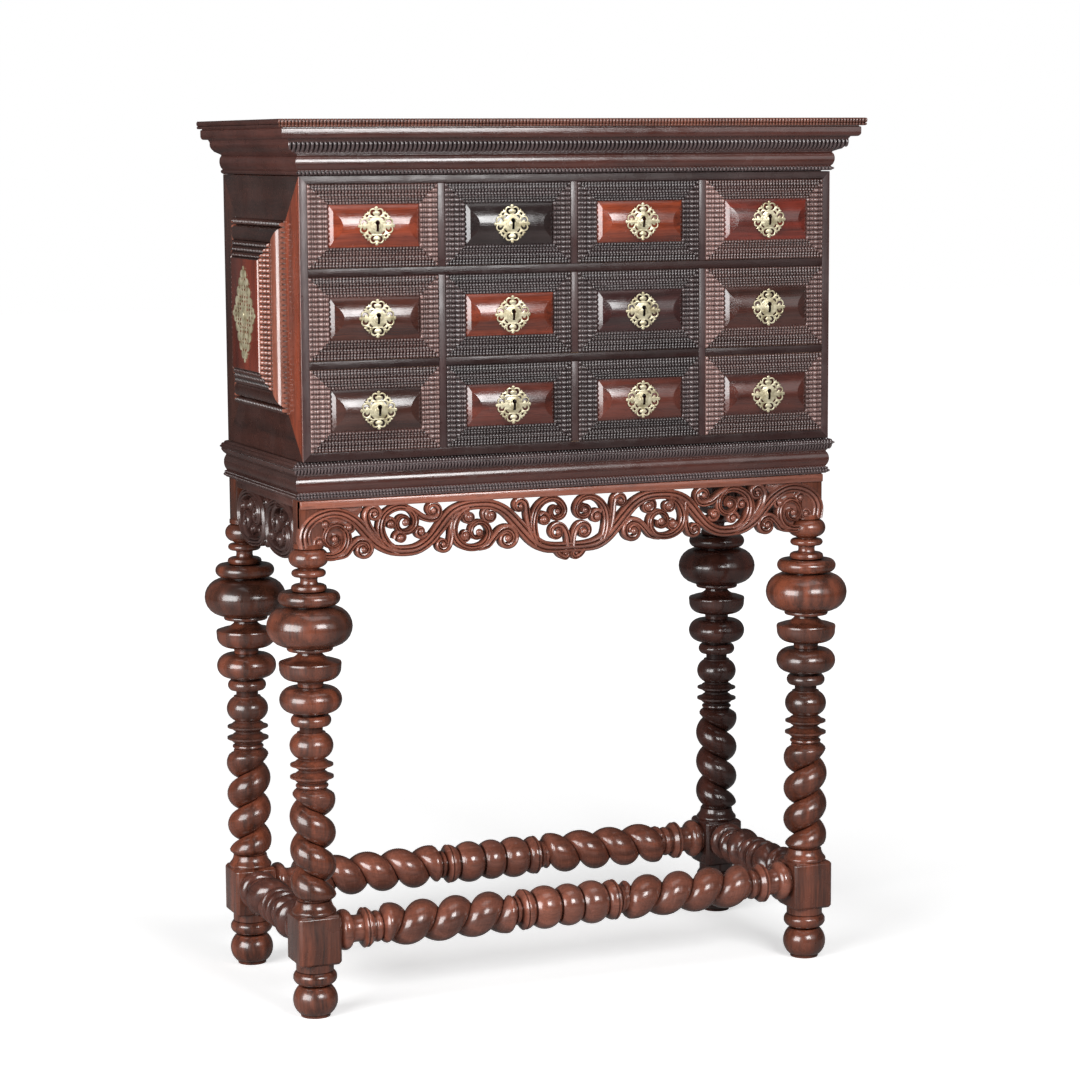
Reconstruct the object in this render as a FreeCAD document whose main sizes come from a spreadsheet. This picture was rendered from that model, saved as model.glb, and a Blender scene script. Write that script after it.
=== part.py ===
import FreeCAD, Part
import Sketcher

import os
import re

# Cabinet of drawers on a turned stand: a parametric document in millimetres.
# X runs along the front, -Y is the front, +Z is up, and the floor is at z = 0.

V = FreeCAD.Vector
COLUMNS = 4
ROWS = 3
HALF_TURN = 180
QUARTER_TURN = 90
doc = FreeCAD.newDocument("cabinet_on_stand")
sheet = doc.addObject("Spreadsheet::Sheet", "Sizes")
places = doc.addObject("App::VarSet", "Places")
sheet_rows = []
prefixes = {}
nodes = []


# Sizes and places

def add_sizes(heading, sizes):
    """Write a heading row and then one row per size: its name and its plain number."""
    sheet_rows.append(heading)
    sheet.set(f"A{len(sheet_rows)}", heading)
    for name, number in sizes.items():
        sheet_rows.append(name)
        sheet.set(f"A{len(sheet_rows)}", name)
        sheet.set(f"B{len(sheet_rows)}", str(number))
        sheet.setAlias(f"B{len(sheet_rows)}", name)
        prefixes[name] = "Sizes."


def formula(text):
    """Turn the bare names of sizes and places into names that an expression finds."""
    return re.sub(r"[a-z][a-z_0-9]+", lambda word: prefixes.get(word[0], "") + word[0], text)


def add_places(**formulas):
    """Add derived sizes and places, each bound to the sheet by its formula."""
    for name, text in formulas.items():
        places.addProperty("App::PropertyFloat", name)
        places.setExpression(name, formula(text))
        prefixes[name] = "Places."
    doc.recompute()


def size(name):
    """The number that a size or a place has now."""
    return getattr(places if prefixes[name] == "Places." else sheet, name)


# Millimetres
SIZES = {
    "Case": {
        "case_width": 910,
        "case_depth": 398,
        "side_board": 12.5,
        "bottom_board": 13,
        "top_board": 12,
        "back_board": 10,
        "rail": 12.5,
        "stile": 11.5,
        "row_height": 129,
    },
    "Cornice": {
        "cornice_overhang": 37,
        "cornice_height": 73.6,
        "frieze_board": 15,
        "slab_overhang": 45,
        "slab_thick": 12.4,
        "slab_round": 5.5,
    },
    "Stand": {
        "stand_height": 887,
        "stand_set_back": 20,
        "stand_rail_height": 62,
        "stand_rail_thick": 24,
        "stand_moulding_out": 15.5,
        "stand_moulding_height": 61,
        "apron_drop": 92,
        "apron_thick": 16,
        "apron_band": 13,
        "apron_relief": 3,
        "apron_clear": 1,
    },
    "Legs and stretchers": {
        "post_width": 37,
        "post_length": 131,
        "turning_length": 390,
        "bulb_radius": 68,
        "twist_radius": 27,
        "twist_throw": 9,
        "twist_pitch": 53,
        "twist_length": 174,
        "block_width": 67.6,
        "block_top": 168,
        "block_length": 78,
        "block_taper": 10,
        "foot_radius": 36,
        "stretcher_height": 134,
        "stretcher_radius": 35.5,
        "stretcher_twist_radius": 26.5,
        "stretcher_pitch": 57,
        "stretcher_end": 78,
        "stretcher_middle": 208,
        "short_end": 55,
        "short_middle": 72,
    },
    "Drawers": {
        "front_clear": 0.5,
        "runner_clear": 0.3,
        "front_recess": 1,
        "front_board": 15,
        "drawer_side": 9,
        "drawer_bottom": 6,
        "drawer_head_room": 7,
        "drawer_rear_gap": 12,
    },
    "Raised fronts": {
        "outer_band": 17,
        "outer_rise": 5,
        "inner_step": 3,
        "inner_band": 15,
        "inner_rise": 10,
        "panel_edge": 4,
        "panel_arch": 8,
        "panel_bevel": 23,
    },
    "Locks and plates": {
        "lock_width": 54,
        "lock_thick": 9,
        "lock_below_key": 18,
        "bolt_above_key": 8,
        "bolt_width": 16,
        "bolt_thick": 4,
        "bolt_clear": 0.3,
        "bolt_travel": 8,
        "mortise_clear": 1,
        "keyhole_radius": 3,
        "keyhole_slot": 2.6,
        "keyhole_drop": 8,
        "plate_size": 60,
        "plate_thick": 1.2,
        "plate_gap": 0.1,
    },
    "Side panels": {
        "side_margin": 67,
        "side_moulding": 63,
        "side_edge": 5,
        "side_rise": 28,
        "mount_width": 120,
        "mount_height": 150,
        "mount_thick": 1.5,
    },
    "Tools": {
        "overrun": 5,
    },
}
for heading, sizes in SIZES.items():
    add_sizes(heading, sizes)
doc.recompute()

add_places(
    column_width=f"(case_width - 2 * side_board - {COLUMNS - 1} * stile) / {COLUMNS}",
    case_height=f"bottom_board + top_board + {ROWS} * row_height + {ROWS - 1} * rail",
    case_top_z=f"stand_height + bottom_board + top_board + {ROWS} * row_height + {ROWS - 1} * rail",
    front_y="(slab_overhang - case_depth - bulb_radius + post_width / 2) / 2",
    back_y="(slab_overhang + case_depth - bulb_radius + post_width / 2) / 2",
    panel_height="row_height - 2 * (front_clear + outer_band + inner_band)",
)
add_places(
    stand_front_y="front_y + stand_set_back",
    leg_x="(case_width - post_width) / 2",
    leg_back_y="back_y - post_width / 2",
    leg_front_y="front_y + stand_set_back + post_width / 2",
    post_foot_z="stand_height - post_length",
    twist_top_z="stand_height - post_length - turning_length",
    board_face_y="front_y + front_recess",
    board_back_y="front_y + front_recess + front_board",
    drawer_end_y="back_y - back_board - drawer_rear_gap",
    inside_back_y="back_y - back_board",
    panel_radius="((panel_height / 2) ^ 2 + panel_arch ^ 2) / (2 * panel_arch)",
    ridge_y="front_y + front_recess - panel_edge - panel_arch",
    row_pitch="row_height + rail",
    column_pitch="column_width + stile",
    opening_z="stand_height + bottom_board",
    opening_x="side_board - case_width / 2",
)


# Objects of the document

def add(kind, name, **links):
    item = doc.addObject(kind, name)
    for key, link in links.items():
        setattr(item, key, link)
    return item


def bind(item, **formulas):
    """Bind properties to formulas; x, y and z stand for the object's place."""
    for key, text in formulas.items():
        path = f"Placement.Base.{key}" if key in "xyz" else key
        item.setExpression(path, formula(text))
    return item


def board(name, x, y, z):
    """A box between a low and a high formula along each axis."""
    box = add("Part::Box", name)
    bind(box, Length=f"({x[1]}) - ({x[0]})", Width=f"({y[1]}) - ({y[0]})", Height=f"({z[1]}) - ({z[0]})")
    return bind(box, x=x[0], y=y[0], z=z[0])


def bar(name, radius, length, centre, axis):
    """A cylinder along an axis, from its centre point forwards."""
    cylinder = add("Part::Cylinder", name)
    cylinder.Placement.Rotation = FreeCAD.Rotation(V(0, 0, 1), axis)
    bind(cylinder, Radius=radius, Height=length)
    return bind(cylinder, x=centre[0], y=centre[1], z=centre[2])


def frustum(name, half, inset, rise, centre, turn):
    """A block whose four sides slope in; it rises along +Y, turned by so many degrees about Z."""
    wedge = add("Part::Wedge", name)
    wedge.Placement.Rotation = FreeCAD.Rotation(V(0, 0, 1), turn)
    low_x, high_x = f"-({half[0]})", half[0]
    low_z, high_z = f"-({half[1]})", half[1]
    bind(wedge, Xmin=low_x, Xmax=high_x, Zmin=low_z, Zmax=high_z, Ymin="0", Ymax=rise)
    bind(wedge, X2min=f"{low_x} + ({inset[0]})", X2max=f"{high_x} - ({inset[0]})")
    bind(wedge, Z2min=f"{low_z} + ({inset[1]})", Z2max=f"{high_z} - ({inset[1]})")
    return bind(wedge, x=centre[0], y=centre[1], z=centre[2])


def cut(name, base, tool):
    return add("Part::Cut", name, Base=base, Tool=tool)


def fused(name, shapes):
    return add("Part::MultiFuse", name, Shapes=shapes)


def feature(name, shape):
    """An object that holds a computed shape."""
    item = add("Part::Feature", name)
    item.Shape = shape
    return item


def node(label, pieces):
    """One named sub-part: a group of its separate solids."""
    group = add("Part::Compound", f"node_{label}", Links=pieces)
    group.Label = label
    nodes.append(group)
    return group


# Outlines and mouldings

def outline(points):
    """A closed wire of (x, y) points; a point with four numbers ends an arc through its first two."""
    edges = []
    start = points[-1][-2:]
    for point in points:
        here, there = V(*start), V(*point[-2:])
        if len(point) > 2:
            edges.append(Part.Arc(here, V(*point[:2]), there).toShape())
        elif (here - there).Length > Part.Precision.confusion():
            edges.append(Part.LineSegment(here, there).toShape())
        start = point[-2:]
    return Part.Wire(edges)


def scaled(shares, width, height):
    """Points given as shares, made real: across by width and up by height."""
    return [tuple(share * (width, height)[i % 2] for i, share in enumerate(point)) for point in shares]


def mitred_runs(points, top_z, front, back, half, names):
    """Three lengths of a moulding, mitred at the front corners; points are (out, up) from top_z."""
    reach = max(point[-2] for point in points) + size("overrun")
    tall = max(abs(point[-1]) for point in points) + size("overrun")
    face = Part.Face(outline(points))
    corner = V(half, front, 0)
    far = V(half + reach, front - reach, 0)
    runs = {}
    plans = {
        "front": (V(-corner.x, corner.y), corner, far, V(-far.x, far.y)),
        "left": (V(-corner.x, corner.y), V(-far.x, far.y), V(-far.x, back), V(-corner.x, back)),
        "right": (corner, far, V(far.x, back), V(corner.x, back)),
    }
    aims = {
        "front": (FreeCAD.Rotation(V(0, -1, 0), V(0, 0, 1), V(-1, 0, 0)), V(far.x, front, top_z)),
        "left": (FreeCAD.Rotation(V(-1, 0, 0), V(0, 0, 1), V(0, 1, 0)), V(-half, far.y, top_z)),
        "right": (FreeCAD.Rotation(V(1, 0, 0), V(0, 0, 1), V(0, -1, 0)), V(half, back, top_z)),
    }
    for side, (turn, place) in aims.items():
        length = 2 * far.x if side == "front" else back - far.y
        run = face.extrude(V(0, 0, length))
        run.Placement = FreeCAD.Placement(place, turn)
        plan = Part.Face(Part.makePolygon([*plans[side], plans[side][0]]))
        plan.translate(V(0, 0, top_z - tall))
        runs[side] = feature(f"{names}_{side}", run.common(plan.extrude(V(0, 0, 2 * tall))))
    return list(runs.values())


# Turned work

BALL_SHARE = 0.36
CURVE_SHARE = 0.66
NECK_SHARE = 0.3


def turned(parts_shares, length, radius):
    """Profile points, (radius, depth) from the top down, of stacked turned elements.

    Each element is a kind, its share of the length and its share of the radius.
    A disc has flat faces and a round rim; a ball is one arc between the necks; a neck is
    hollow; a plain element is straight; a curve runs on from the radius above it.
    """
    whole = sum(share for _, share, _ in parts_shares)
    points = [(0, 0)]
    depth = 0
    for kind, height_share, radius_share in parts_shares:
        high = length * height_share / whole
        wide = radius * radius_share
        middle, end = depth + high / 2, depth + high
        if kind == "disc":
            points += [(wide - high / 2, depth), (wide, middle, wide - high / 2, end)]
        elif kind == "plain":
            points += [(wide, depth), (wide, end)]
        elif kind == "neck":
            lip = wide + high * NECK_SHARE
            points += [(lip, depth), (wide, middle, lip, end)]
        elif kind == "ball":
            foot = wide - high * BALL_SHARE
            points += [(foot, depth), (wide, middle, foot, end)]
        elif kind == "curve":
            last = points[-1][-2]
            bend = last + (wide - last) * (1 - CURVE_SHARE)
            points.append((bend, depth + high * CURVE_SHARE, wide, end))
        depth = end
    points.append((0, depth))
    return points


def turning(shares, length, radius):
    """A solid of revolution standing below z = 0."""
    points = [tuple(-number if i % 2 else number for i, number in enumerate(point))
              for point in turned(shares, length, radius)]
    wire = outline(points)
    wire.rotate(V(0, 0, 0), V(1, 0, 0), QUARTER_TURN)
    return Part.Face(wire).revolve(V(0, 0, 0), V(0, 0, 1), 2 * HALF_TURN)


def twist(radius, throw, pitch, length, left_handed):
    """A single-start barley twist: a round section carried round a helix, from z = 0 up."""
    helix = Part.makeLongHelix(pitch, length, throw, 0, left_handed)
    shell = Part.BRepOffsetAPI.MakePipeShell(Part.Wire(helix.Edges))
    shell.setBiNormalMode(V(0, 0, 1))
    shell.add(Part.Wire([Part.makeCircle(radius, V(throw, 0, 0), V(0, 0, 1))]))
    shell.build()
    shell.makeSolid()
    return shell.shape()


LEG_SHARES = (
    ("plain", 7, 0.36),
    ("ball", 30, 0.456),
    ("plain", 4, 0.24),
    ("disc", 10, 0.4),
    ("neck", 13, 0.21),
    ("disc", 11, 0.417),
    ("plain", 1, 0.4),
    ("disc", 19, 0.72),
    ("plain", 4, 0.42),
    ("disc", 62, 1),
    ("disc", 7, 0.51),
    ("neck", 10, 0.28),
    ("curve", 7, 0.73),
    ("plain", 5, 0.73),
    ("curve", 23, 0.37),
    ("neck", 12, 0.28),
    ("disc", 36.5, 0.726),
    ("plain", 6.5, 0.3),
    ("disc", 16.5, 0.47),
    ("neck", 8, 0.27),
    ("plain", 4, 0.33),
    ("ball", 39, 0.51),
    ("plain", 3, 0.31),
    ("disc", 15, 0.485),
    ("plain", 5, 0.29),
    ("disc", 21, 0.485),
    ("plain", 7, 0.38),
)
TWIST_FOOT_SHARES = (
    ("plain", 6, 1),
    ("disc", 5, 1.02),
    ("disc", 13, 1.18),
)
FOOT_SHARES = (
    ("plain", 6, 0.78),
    ("disc", 22, 0.96),
    ("plain", 3, 0.58),
    ("disc", 44, 1),
    ("plain", 5, 0.67),
)
STRETCHER_END_SHARES = (
    ("plain", 5, 0.75),
    ("disc", 27, 0.93),
    ("plain", 8, 0.63),
    ("disc", 12, 0.92),
    ("plain", 6, 0.62),
    ("disc", 13, 0.72),
    ("plain", 7, 0.62),
)
STRETCHER_HALF_SHARES = (
    ("plain", 5, 0.6),
    ("disc", 12, 0.68),
    ("plain", 4, 0.6),
    ("disc", 15, 0.94),
    ("plain", 6, 0.62),
    ("disc", 42, 1),
    ("plain", 4, 0.75),
)
STRETCHER_MIDDLE_SHARES = (*STRETCHER_HALF_SHARES, ("disc", 32, 0.97), *STRETCHER_HALF_SHARES[::-1])
SHORT_END_SHARES = (
    ("plain", 4, 0.75),
    ("disc", 24, 0.96),
    ("plain", 3, 0.7),
    ("disc", 20, 0.93),
    ("plain", 4, 0.65),
)
SHORT_MIDDLE_SHARES = (
    ("plain", 4, 0.62),
    ("disc", 12, 0.8),
    ("plain", 3, 0.65),
    ("disc", 34, 0.98),
    ("plain", 3, 0.65),
    ("disc", 12, 0.8),
    ("plain", 4, 0.62),
)


def make_leg(name, x, y, left_handed):
    """One leg: post, turned column, twist, stretcher block and foot, in one piece of wood."""
    block_low = size("block_top") - size("block_length")
    twist_low = size("twist_top_z") - size("twist_length")
    half = size("block_width") / 2
    post = Part.makeBox(size("post_width"), size("post_width"), size("post_length"))
    post.translate(V(-size("post_width") / 2, -size("post_width") / 2, size("post_foot_z")))
    column = turning(LEG_SHARES, size("turning_length"), size("bulb_radius"))
    column.translate(V(0, 0, size("post_foot_z")))
    shaft = twist(size("twist_radius"), size("twist_throw"), size("twist_pitch"),
                  size("twist_length"), left_handed)
    shaft.translate(V(0, 0, twist_low))
    collar = turning(TWIST_FOOT_SHARES, twist_low - size("block_top"), size("twist_radius"))
    collar.translate(V(0, 0, twist_low))
    block = Part.makeBox(2 * half, 2 * half, size("block_length"))
    block.translate(V(-half, -half, block_low))
    taper = Part.makeCone(half - size("block_taper"), half, size("block_taper"))
    taper.translate(V(0, 0, block_low - size("block_taper")))
    foot = turning(FOOT_SHARES, block_low - size("block_taper"), size("foot_radius"))
    foot.translate(V(0, 0, block_low - size("block_taper")))
    leg = post.fuse([column, shaft, collar, block, taper, foot])
    leg.translate(V(x, y, 0))
    return node(name, [feature(f"{name}_wood", leg)])


def make_stretcher(name, length, ends, middles, centre, turn, hand):
    """One stretcher along X before its turn: turned ends and middle, and a twist each side.

    The ends and the middles are each a table of shares and the length that it fills.
    """
    (end_shares, end_length), (middle_shares, middle_length) = ends, middles
    radius = size("stretcher_radius")
    shaft_length = (length - middle_length) / 2 - end_length
    middle = turning(middle_shares, middle_length, radius)
    middle.translate(V(0, 0, middle_length / 2))
    pieces = []
    for side in (1, -1):
        end = turning(end_shares, end_length, radius)
        end.translate(V(0, 0, length / 2))
        shaft = twist(size("stretcher_twist_radius"), size("twist_throw"), size("stretcher_pitch"),
                      shaft_length, side == hand)
        shaft.translate(V(0, 0, middle_length / 2))
        half = end.fuse(shaft)
        if side < 0:
            half.rotate(V(0, 0, 0), V(0, 1, 0), HALF_TURN)
        pieces.append(half)
    wood = middle.fuse(pieces)
    wood.rotate(V(0, 0, 0), V(0, 1, 0), QUARTER_TURN)
    wood.rotate(V(0, 0, 0), V(0, 0, 1), turn)
    wood.translate(centre)
    return node(name, [feature(f"{name}_wood", wood)])


def make_stand_woodwork():
    for depth, place in (("front", "leg_front_y"), ("rear", "leg_back_y")):
        for side, word in ((-1, "left"), (1, "right")):
            left_handed = (side < 0) == (depth == "front")
            make_leg(f"leg_{depth}_{word}", side * size("leg_x"), size(place), left_handed)
    long = 2 * size("leg_x") - size("block_width")
    short = size("leg_back_y") - size("leg_front_y") - size("block_width")
    middle_y = (size("leg_back_y") + size("leg_front_y")) / 2
    high = size("stretcher_height")
    for word, y, hand in (("front", size("leg_front_y"), -1), ("rear", size("leg_back_y"), 1)):
        make_stretcher(f"stretcher_{word}", long, (STRETCHER_END_SHARES, size("stretcher_end")),
                       (STRETCHER_MIDDLE_SHARES, size("stretcher_middle")), V(0, y, high), 0, hand)
    for word, side in (("left", -1), ("right", 1)):
        make_stretcher(f"stretcher_{word}", short, (SHORT_END_SHARES, size("short_end")),
                       (SHORT_MIDDLE_SHARES, size("short_middle")),
                       V(side * size("leg_x"), middle_y, high), QUARTER_TURN, side)


# Stand: rails, moulding and pierced aprons

def make_stand_frame():
    z = ("stand_height - stand_rail_height", "stand_height")
    post = "post_width"
    across = (f"{post} - case_width / 2", f"case_width / 2 - {post}")
    along = (f"stand_front_y + {post}", f"back_y - {post}")
    thick = "stand_rail_thick"
    node("stand_frame", [
        board("stand_rail_front", across, ("stand_front_y", f"stand_front_y + {thick}"), z),
        board("stand_rail_rear", across, (f"back_y - {thick}", "back_y"), z),
        board("stand_rail_left", ("-case_width / 2", f"{thick} - case_width / 2"), along, z),
        board("stand_rail_right", (f"case_width / 2 - {thick}", "case_width / 2"), along, z),
    ])


STAND_MOULDING_SHARES = (
    (0, 0),
    (0.13, 0),
    (1, -0.16),
    (0.95, -0.2),
    (0.35, -0.37),
    (0.3, -0.4),
    (0.55, -0.6, 0.3, -0.8),
    (0.3, -0.83),
    (0.62, -0.9, 0.3, -0.97),
    (0.3, -1),
    (0, -1),
)
CORNICE_SHARES = (
    (0, 0),
    (0.07, 0),
    (0.12, 0.04, 0.07, 0.08),
    (0.04, 0.11),
    (0.04, 0.12),
    (0.14, 0.27, 0.04, 0.41),
    (0.08, 0.43),
    (0.31, 0.51),
    (0.31, 0.59),
    (0.35, 0.62),
    (0.43, 0.7, 0.62, 0.75),
    (1, 0.77),
    (1, 1),
    (0, 1),
)


def make_stand_moulding():
    points = scaled(STAND_MOULDING_SHARES, size("stand_moulding_out"), size("stand_moulding_height"))
    node("stand_moulding", mitred_runs(points, size("stand_height"), size("stand_front_y"), size("back_y"),
                                       size("case_width") / 2, "stand_moulding"))


# Pierced aprons: scrolls as bands through (across, down, width) points, and discs as
# (across, down, radius). Across is a share of the half width and down of the drop. Widths and
# radii are shares of the grain: the drop, or the share below of the half width if that is more.

FRONT_GRAIN_SHARE = 0.2
SIDE_GRAIN_SHARE = 0.6

FRONT_STROKE_SHARES = (
    ((0.98, 0.772, 0.152), (0.978, 0.598, 0.152), (0.965, 0.435, 0.152), (0.934, 0.304, 0.141),
     (0.89, 0.239, 0.13), (0.846, 0.272, 0.13), (0.802, 0.38, 0.13), (0.769, 0.543, 0.141),
     (0.73, 0.75, 0.152), (0.686, 0.902, 0.152), (0.637, 0.957, 0.141), (0.582, 0.924, 0.141),
     (0.538, 0.815, 0.141), (0.503, 0.641, 0.152), (0.468, 0.435, 0.174), (0.44, 0.283, 0.152),
     (0.407, 0.217, 0.141), (0.352, 0.207, 0.13), (0.297, 0.228, 0.141), (0.251, 0.337, 0.152),
     (0.213, 0.511, 0.163), (0.176, 0.717, 0.174), (0.138, 0.935, 0.185), (0.101, 1.022, 0.174),
     (0.055, 1.043, 0.152), (-0.004, 1.022, 0.152)),
    ((0.659, 0.924, 0.13), (0.69, 0.837, 0.141), (0.708, 0.685, 0.152), (0.708, 0.511, 0.141),
     (0.695, 0.315, 0.13), (0.666, 0.207, 0.109), (0.631, 0.185, 0.109), (0.598, 0.239, 0.109),
     (0.582, 0.37, 0.109), (0.585, 0.5, 0.098), (0.604, 0.587, 0.098)),
    ((0.378, 0.217, 0.109), (0.418, 0.315, 0.13), (0.44, 0.489, 0.141), (0.44, 0.663, 0.141),
     (0.429, 0.837, 0.141), (0.4, 0.946, 0.109), (0.363, 0.967, 0.098), (0.327, 0.913, 0.098),
     (0.31, 0.793, 0.098), (0.31, 0.641, 0.098)),
    ((0.136, 0.902, 0.13), (0.138, 0.652, 0.13), (0.136, 0.435, 0.12), (0.123, 0.283, 0.109),
     (0.099, 0.196, 0.098), (0.068, 0.174, 0.087), (0.04, 0.228, 0.087), (0.022, 0.326, 0.087)),
    ((0.708, 0.837, 0.098), (0.736, 0.62, 0.098), (0.76, 0.435, 0.098), (0.767, 0.272, 0.087)),
    ((0.888, 0.967, 0.109), (0.853, 0.978, 0.109), (0.824, 0.902, 0.098), (0.804, 0.783, 0.098),
     (0.774, 0.75, 0.087)),
    ((0.62, 0.163, 0.098), (0.585, 0.261, 0.098), (0.549, 0.391, 0.098), (0.521, 0.435, 0.098)),
    ((0.446, 0.598, 0.098), (0.455, 0.761, 0.098), (0.468, 0.87, 0.087)),
    ((0.334, 0.957, 0.098), (0.303, 0.902, 0.098), (0.286, 0.761, 0.098), (0.259, 0.652, 0.098),
     (0.229, 0.674, 0.087)),
    ((0.154, 0.87, 0.098), (0.163, 0.62, 0.098), (0.16, 0.402, 0.098), (0.171, 0.25, 0.087)),
)
FRONT_DISC_SHARES = (
    (0.916, 0.576, 0.359), (0.879, 0.75, 0.272), (0.879, 0.685, 0.217), (0.824, 0.489, 0.109),
    (0.774, 0.886, 0.152), (0.735, 0.272, 0.13), (0.627, 0.473, 0.152), (0.669, 0.451, 0.103),
    (0.565, 0.63, 0.109), (0.634, 0.723, 0.114), (0.519, 0.278, 0.152), (0.484, 0.87, 0.152),
    (0.347, 0.677, 0.196), (0.382, 0.424, 0.125), (0.396, 0.74, 0.114), (0.305, 0.402, 0.136),
    (0.244, 0.84, 0.174), (0.191, 0.272, 0.152), (0.052, 0.424, 0.185), (0.05, 0.777, 0.185),
    (0.101, 0.533, 0.12), (0.03, 1.141, 0.098),
)
SIDE_STROKE_SHARES = (
    ((0.086, 0.598, 0.13), (0.132, 0.359, 0.13), (0.25, 0.207, 0.13), (0.408, 0.141, 0.13),
     (0.592, 0.141, 0.13), (0.757, 0.207, 0.13), (0.882, 0.348, 0.13), (0.934, 0.576, 0.13)),
    ((0.941, 0.489, 0.13), (0.895, 0.739, 0.13), (0.776, 0.902, 0.13), (0.605, 0.967, 0.13),
     (0.421, 0.967, 0.13), (0.263, 0.902, 0.13), (0.145, 0.761, 0.13), (0.079, 0.522, 0.13)),
    ((0.039, 0.141, 0.109), (0.092, 0.272, 0.109), (0.105, 0.424, 0.098)),
    ((0.013, 0.913, 0.098), (0.092, 0.87, 0.098), (0.158, 0.772, 0.098)),
    ((0.842, 0.837, 0.109), (0.737, 0.815, 0.109), (0.658, 0.707, 0.098), (0.553, 0.663, 0.098)),
)
SIDE_DISC_SHARES = (
    (0.5, 0.598, 0.217), (0.658, 0.337, 0.13), (0.316, 0.315, 0.13), (0.276, 0.707, 0.141),
    (0.809, 0.511, 0.152), (0.395, 0.402, 0.098), (0.026, 0.207, 0.13), (0.039, 0.902, 0.12),
    (0.961, 0.272, 0.098),
)


def band(points):
    """A face that follows a smooth line through the points, each with its own width."""
    edges = []
    for side in (1, -1):
        rims = []
        for index, (x, z, wide) in enumerate(points):
            before, after = points[max(index - 1, 0)], points[min(index + 1, len(points) - 1)]
            along = V(after[0] - before[0], 0, after[1] - before[1]).normalize()
            rims.append(V(x, 0, z) + along.cross(V(0, side, 0)) * (wide / 2))
        curve = Part.BSplineCurve()
        curve.interpolate(rims)
        edges.append((rims, curve.toShape()))
    (near, near_edge), (far, far_edge) = edges
    ends = [Part.LineSegment(near[place], far[place]).toShape() for place in (0, -1)]
    return Part.Face(Part.Wire(Part.__sortEdges__([near_edge, far_edge, *ends])))


def pierced_board(strokes, discs, half, drop, thick, grain):
    """A board of scrollwork below a plain strip, with its front face on y = 0."""
    faces = []
    for side in (1, -1):
        for stroke in strokes:
            faces.append(band([(side * x * half, -down * drop, wide * grain) for x, down, wide in stroke]))
        for x, down, radius in discs:
            circle = Part.makeCircle(radius * grain, V(side * x * half, 0, -down * drop), V(0, -1, 0))
            faces.append(Part.Face(Part.Wire([circle])))
    solids = [face.extrude(V(0, thick, 0)) for face in faces]
    top = Part.makeBox(2 * half, thick, size("apron_band"), V(-half, 0, -size("apron_band")))
    room = Part.makeBox(2 * half, thick, 2 * drop, V(-half, 0, -2 * drop))
    return top.fuse(solids).removeSplitter().common(room)


def leg_rooms():
    """Room for the posts, and round the collar and ball below them, which the aprons are scribed to."""
    post, bulb = size("post_width"), size("bulb_radius")
    collar_share = LEG_SHARES[0][1] / sum(share for _, share, _ in LEG_SHARES)
    collar_low = size("post_foot_z") - size("turning_length") * collar_share
    rooms = []
    for y in (size("leg_front_y"), size("leg_back_y")):
        for side in (-1, 1):
            x = side * size("leg_x")
            rooms.append(Part.makeBox(post, post, size("post_length"),
                                      V(x - post / 2, y - post / 2, size("post_foot_z"))))
            for index, top in ((0, size("post_foot_z")), (1, collar_low)):
                radius = LEG_SHARES[index][2] * bulb + size("apron_clear")
                foot = V(x, y, top - size("post_length"))
                rooms.append(Part.makeCylinder(radius, size("post_length"), foot))
    return rooms


def make_aprons():
    half, drop, thick = size("case_width") / 2, size("apron_drop"), size("apron_thick")
    top_z = size("stand_height") - size("stand_rail_height")
    grain = max(drop, FRONT_GRAIN_SHARE * half)
    front = pierced_board(FRONT_STROKE_SHARES, FRONT_DISC_SHARES, half, drop, thick, grain)
    front.translate(V(0, size("stand_front_y") - size("apron_relief"), top_z))
    node("apron_front", [feature("apron_front_board", front.cut(leg_rooms()))])
    middle = (size("leg_front_y") + size("leg_back_y")) / 2
    run = middle - size("leg_front_y") - size("post_width") / 2
    grain = max(drop, SIDE_GRAIN_SHARE * run)
    boards = []
    for side, word in ((-1, "left"), (1, "right")):
        shape = pierced_board(SIDE_STROKE_SHARES, SIDE_DISC_SHARES, run, drop, thick, grain)
        shape.rotate(V(0, 0, 0), V(0, 0, 1), side * QUARTER_TURN)
        shape.translate(V(side * half, middle, top_z))
        boards.append(feature(f"apron_{word}_board", shape.cut(leg_rooms())))
    node("apron_sides", boards)


# Case: boards, dividers, cornice and slab

LOW_X, HIGH_X = "opening_x", "-opening_x"
INSIDE_Y = ("front_y", "inside_back_y")


def column_low(column):
    return f"opening_x + {column} * column_pitch"


def row_low(row):
    return f"opening_z + {row} * row_pitch"


class Drawer:
    """One drawer: its name, its first and last column and its lower and upper row."""

    def __init__(self, name, first, last, lower, upper):
        self.name = f"drawer_{name}"
        self.first, self.last, self.lower, self.upper = first, last, lower, upper
        self.low_x = f"{column_low(first)} + front_clear"
        self.high_x = f"{column_low(last)} + column_width - front_clear"
        self.low_z = f"{row_low(lower)} + runner_clear"
        self.high_z = f"{row_low(upper)} + row_height - front_clear"
        rows = range(upper, lower - 1, -1)
        self.cells = [(column, row) for row in rows for column in range(first, last + 1)]

    def key_x(self, column):
        return f"{column_low(column)} + column_width / 2"

    def key_z(self, row):
        return f"{row_low(row)} + row_height / 2"

    def mortise(self):
        """The pocket above the lock that the thrown bolt enters."""
        x = self.key_x(self.first)
        y = "board_back_y + lock_thick / 2"
        half_x, half_y = "(bolt_width / 2 + mortise_clear)", "(bolt_thick / 2 + mortise_clear)"
        return board(f"{self.name}_mortise", (f"{x} - {half_x}", f"{x} + {half_x}"),
                     (f"{y} - {half_y}", f"{y} + {half_y}"),
                     (f"{self.high_z} - overrun", f"{self.high_z} + bolt_travel + mortise_clear"))


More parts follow.
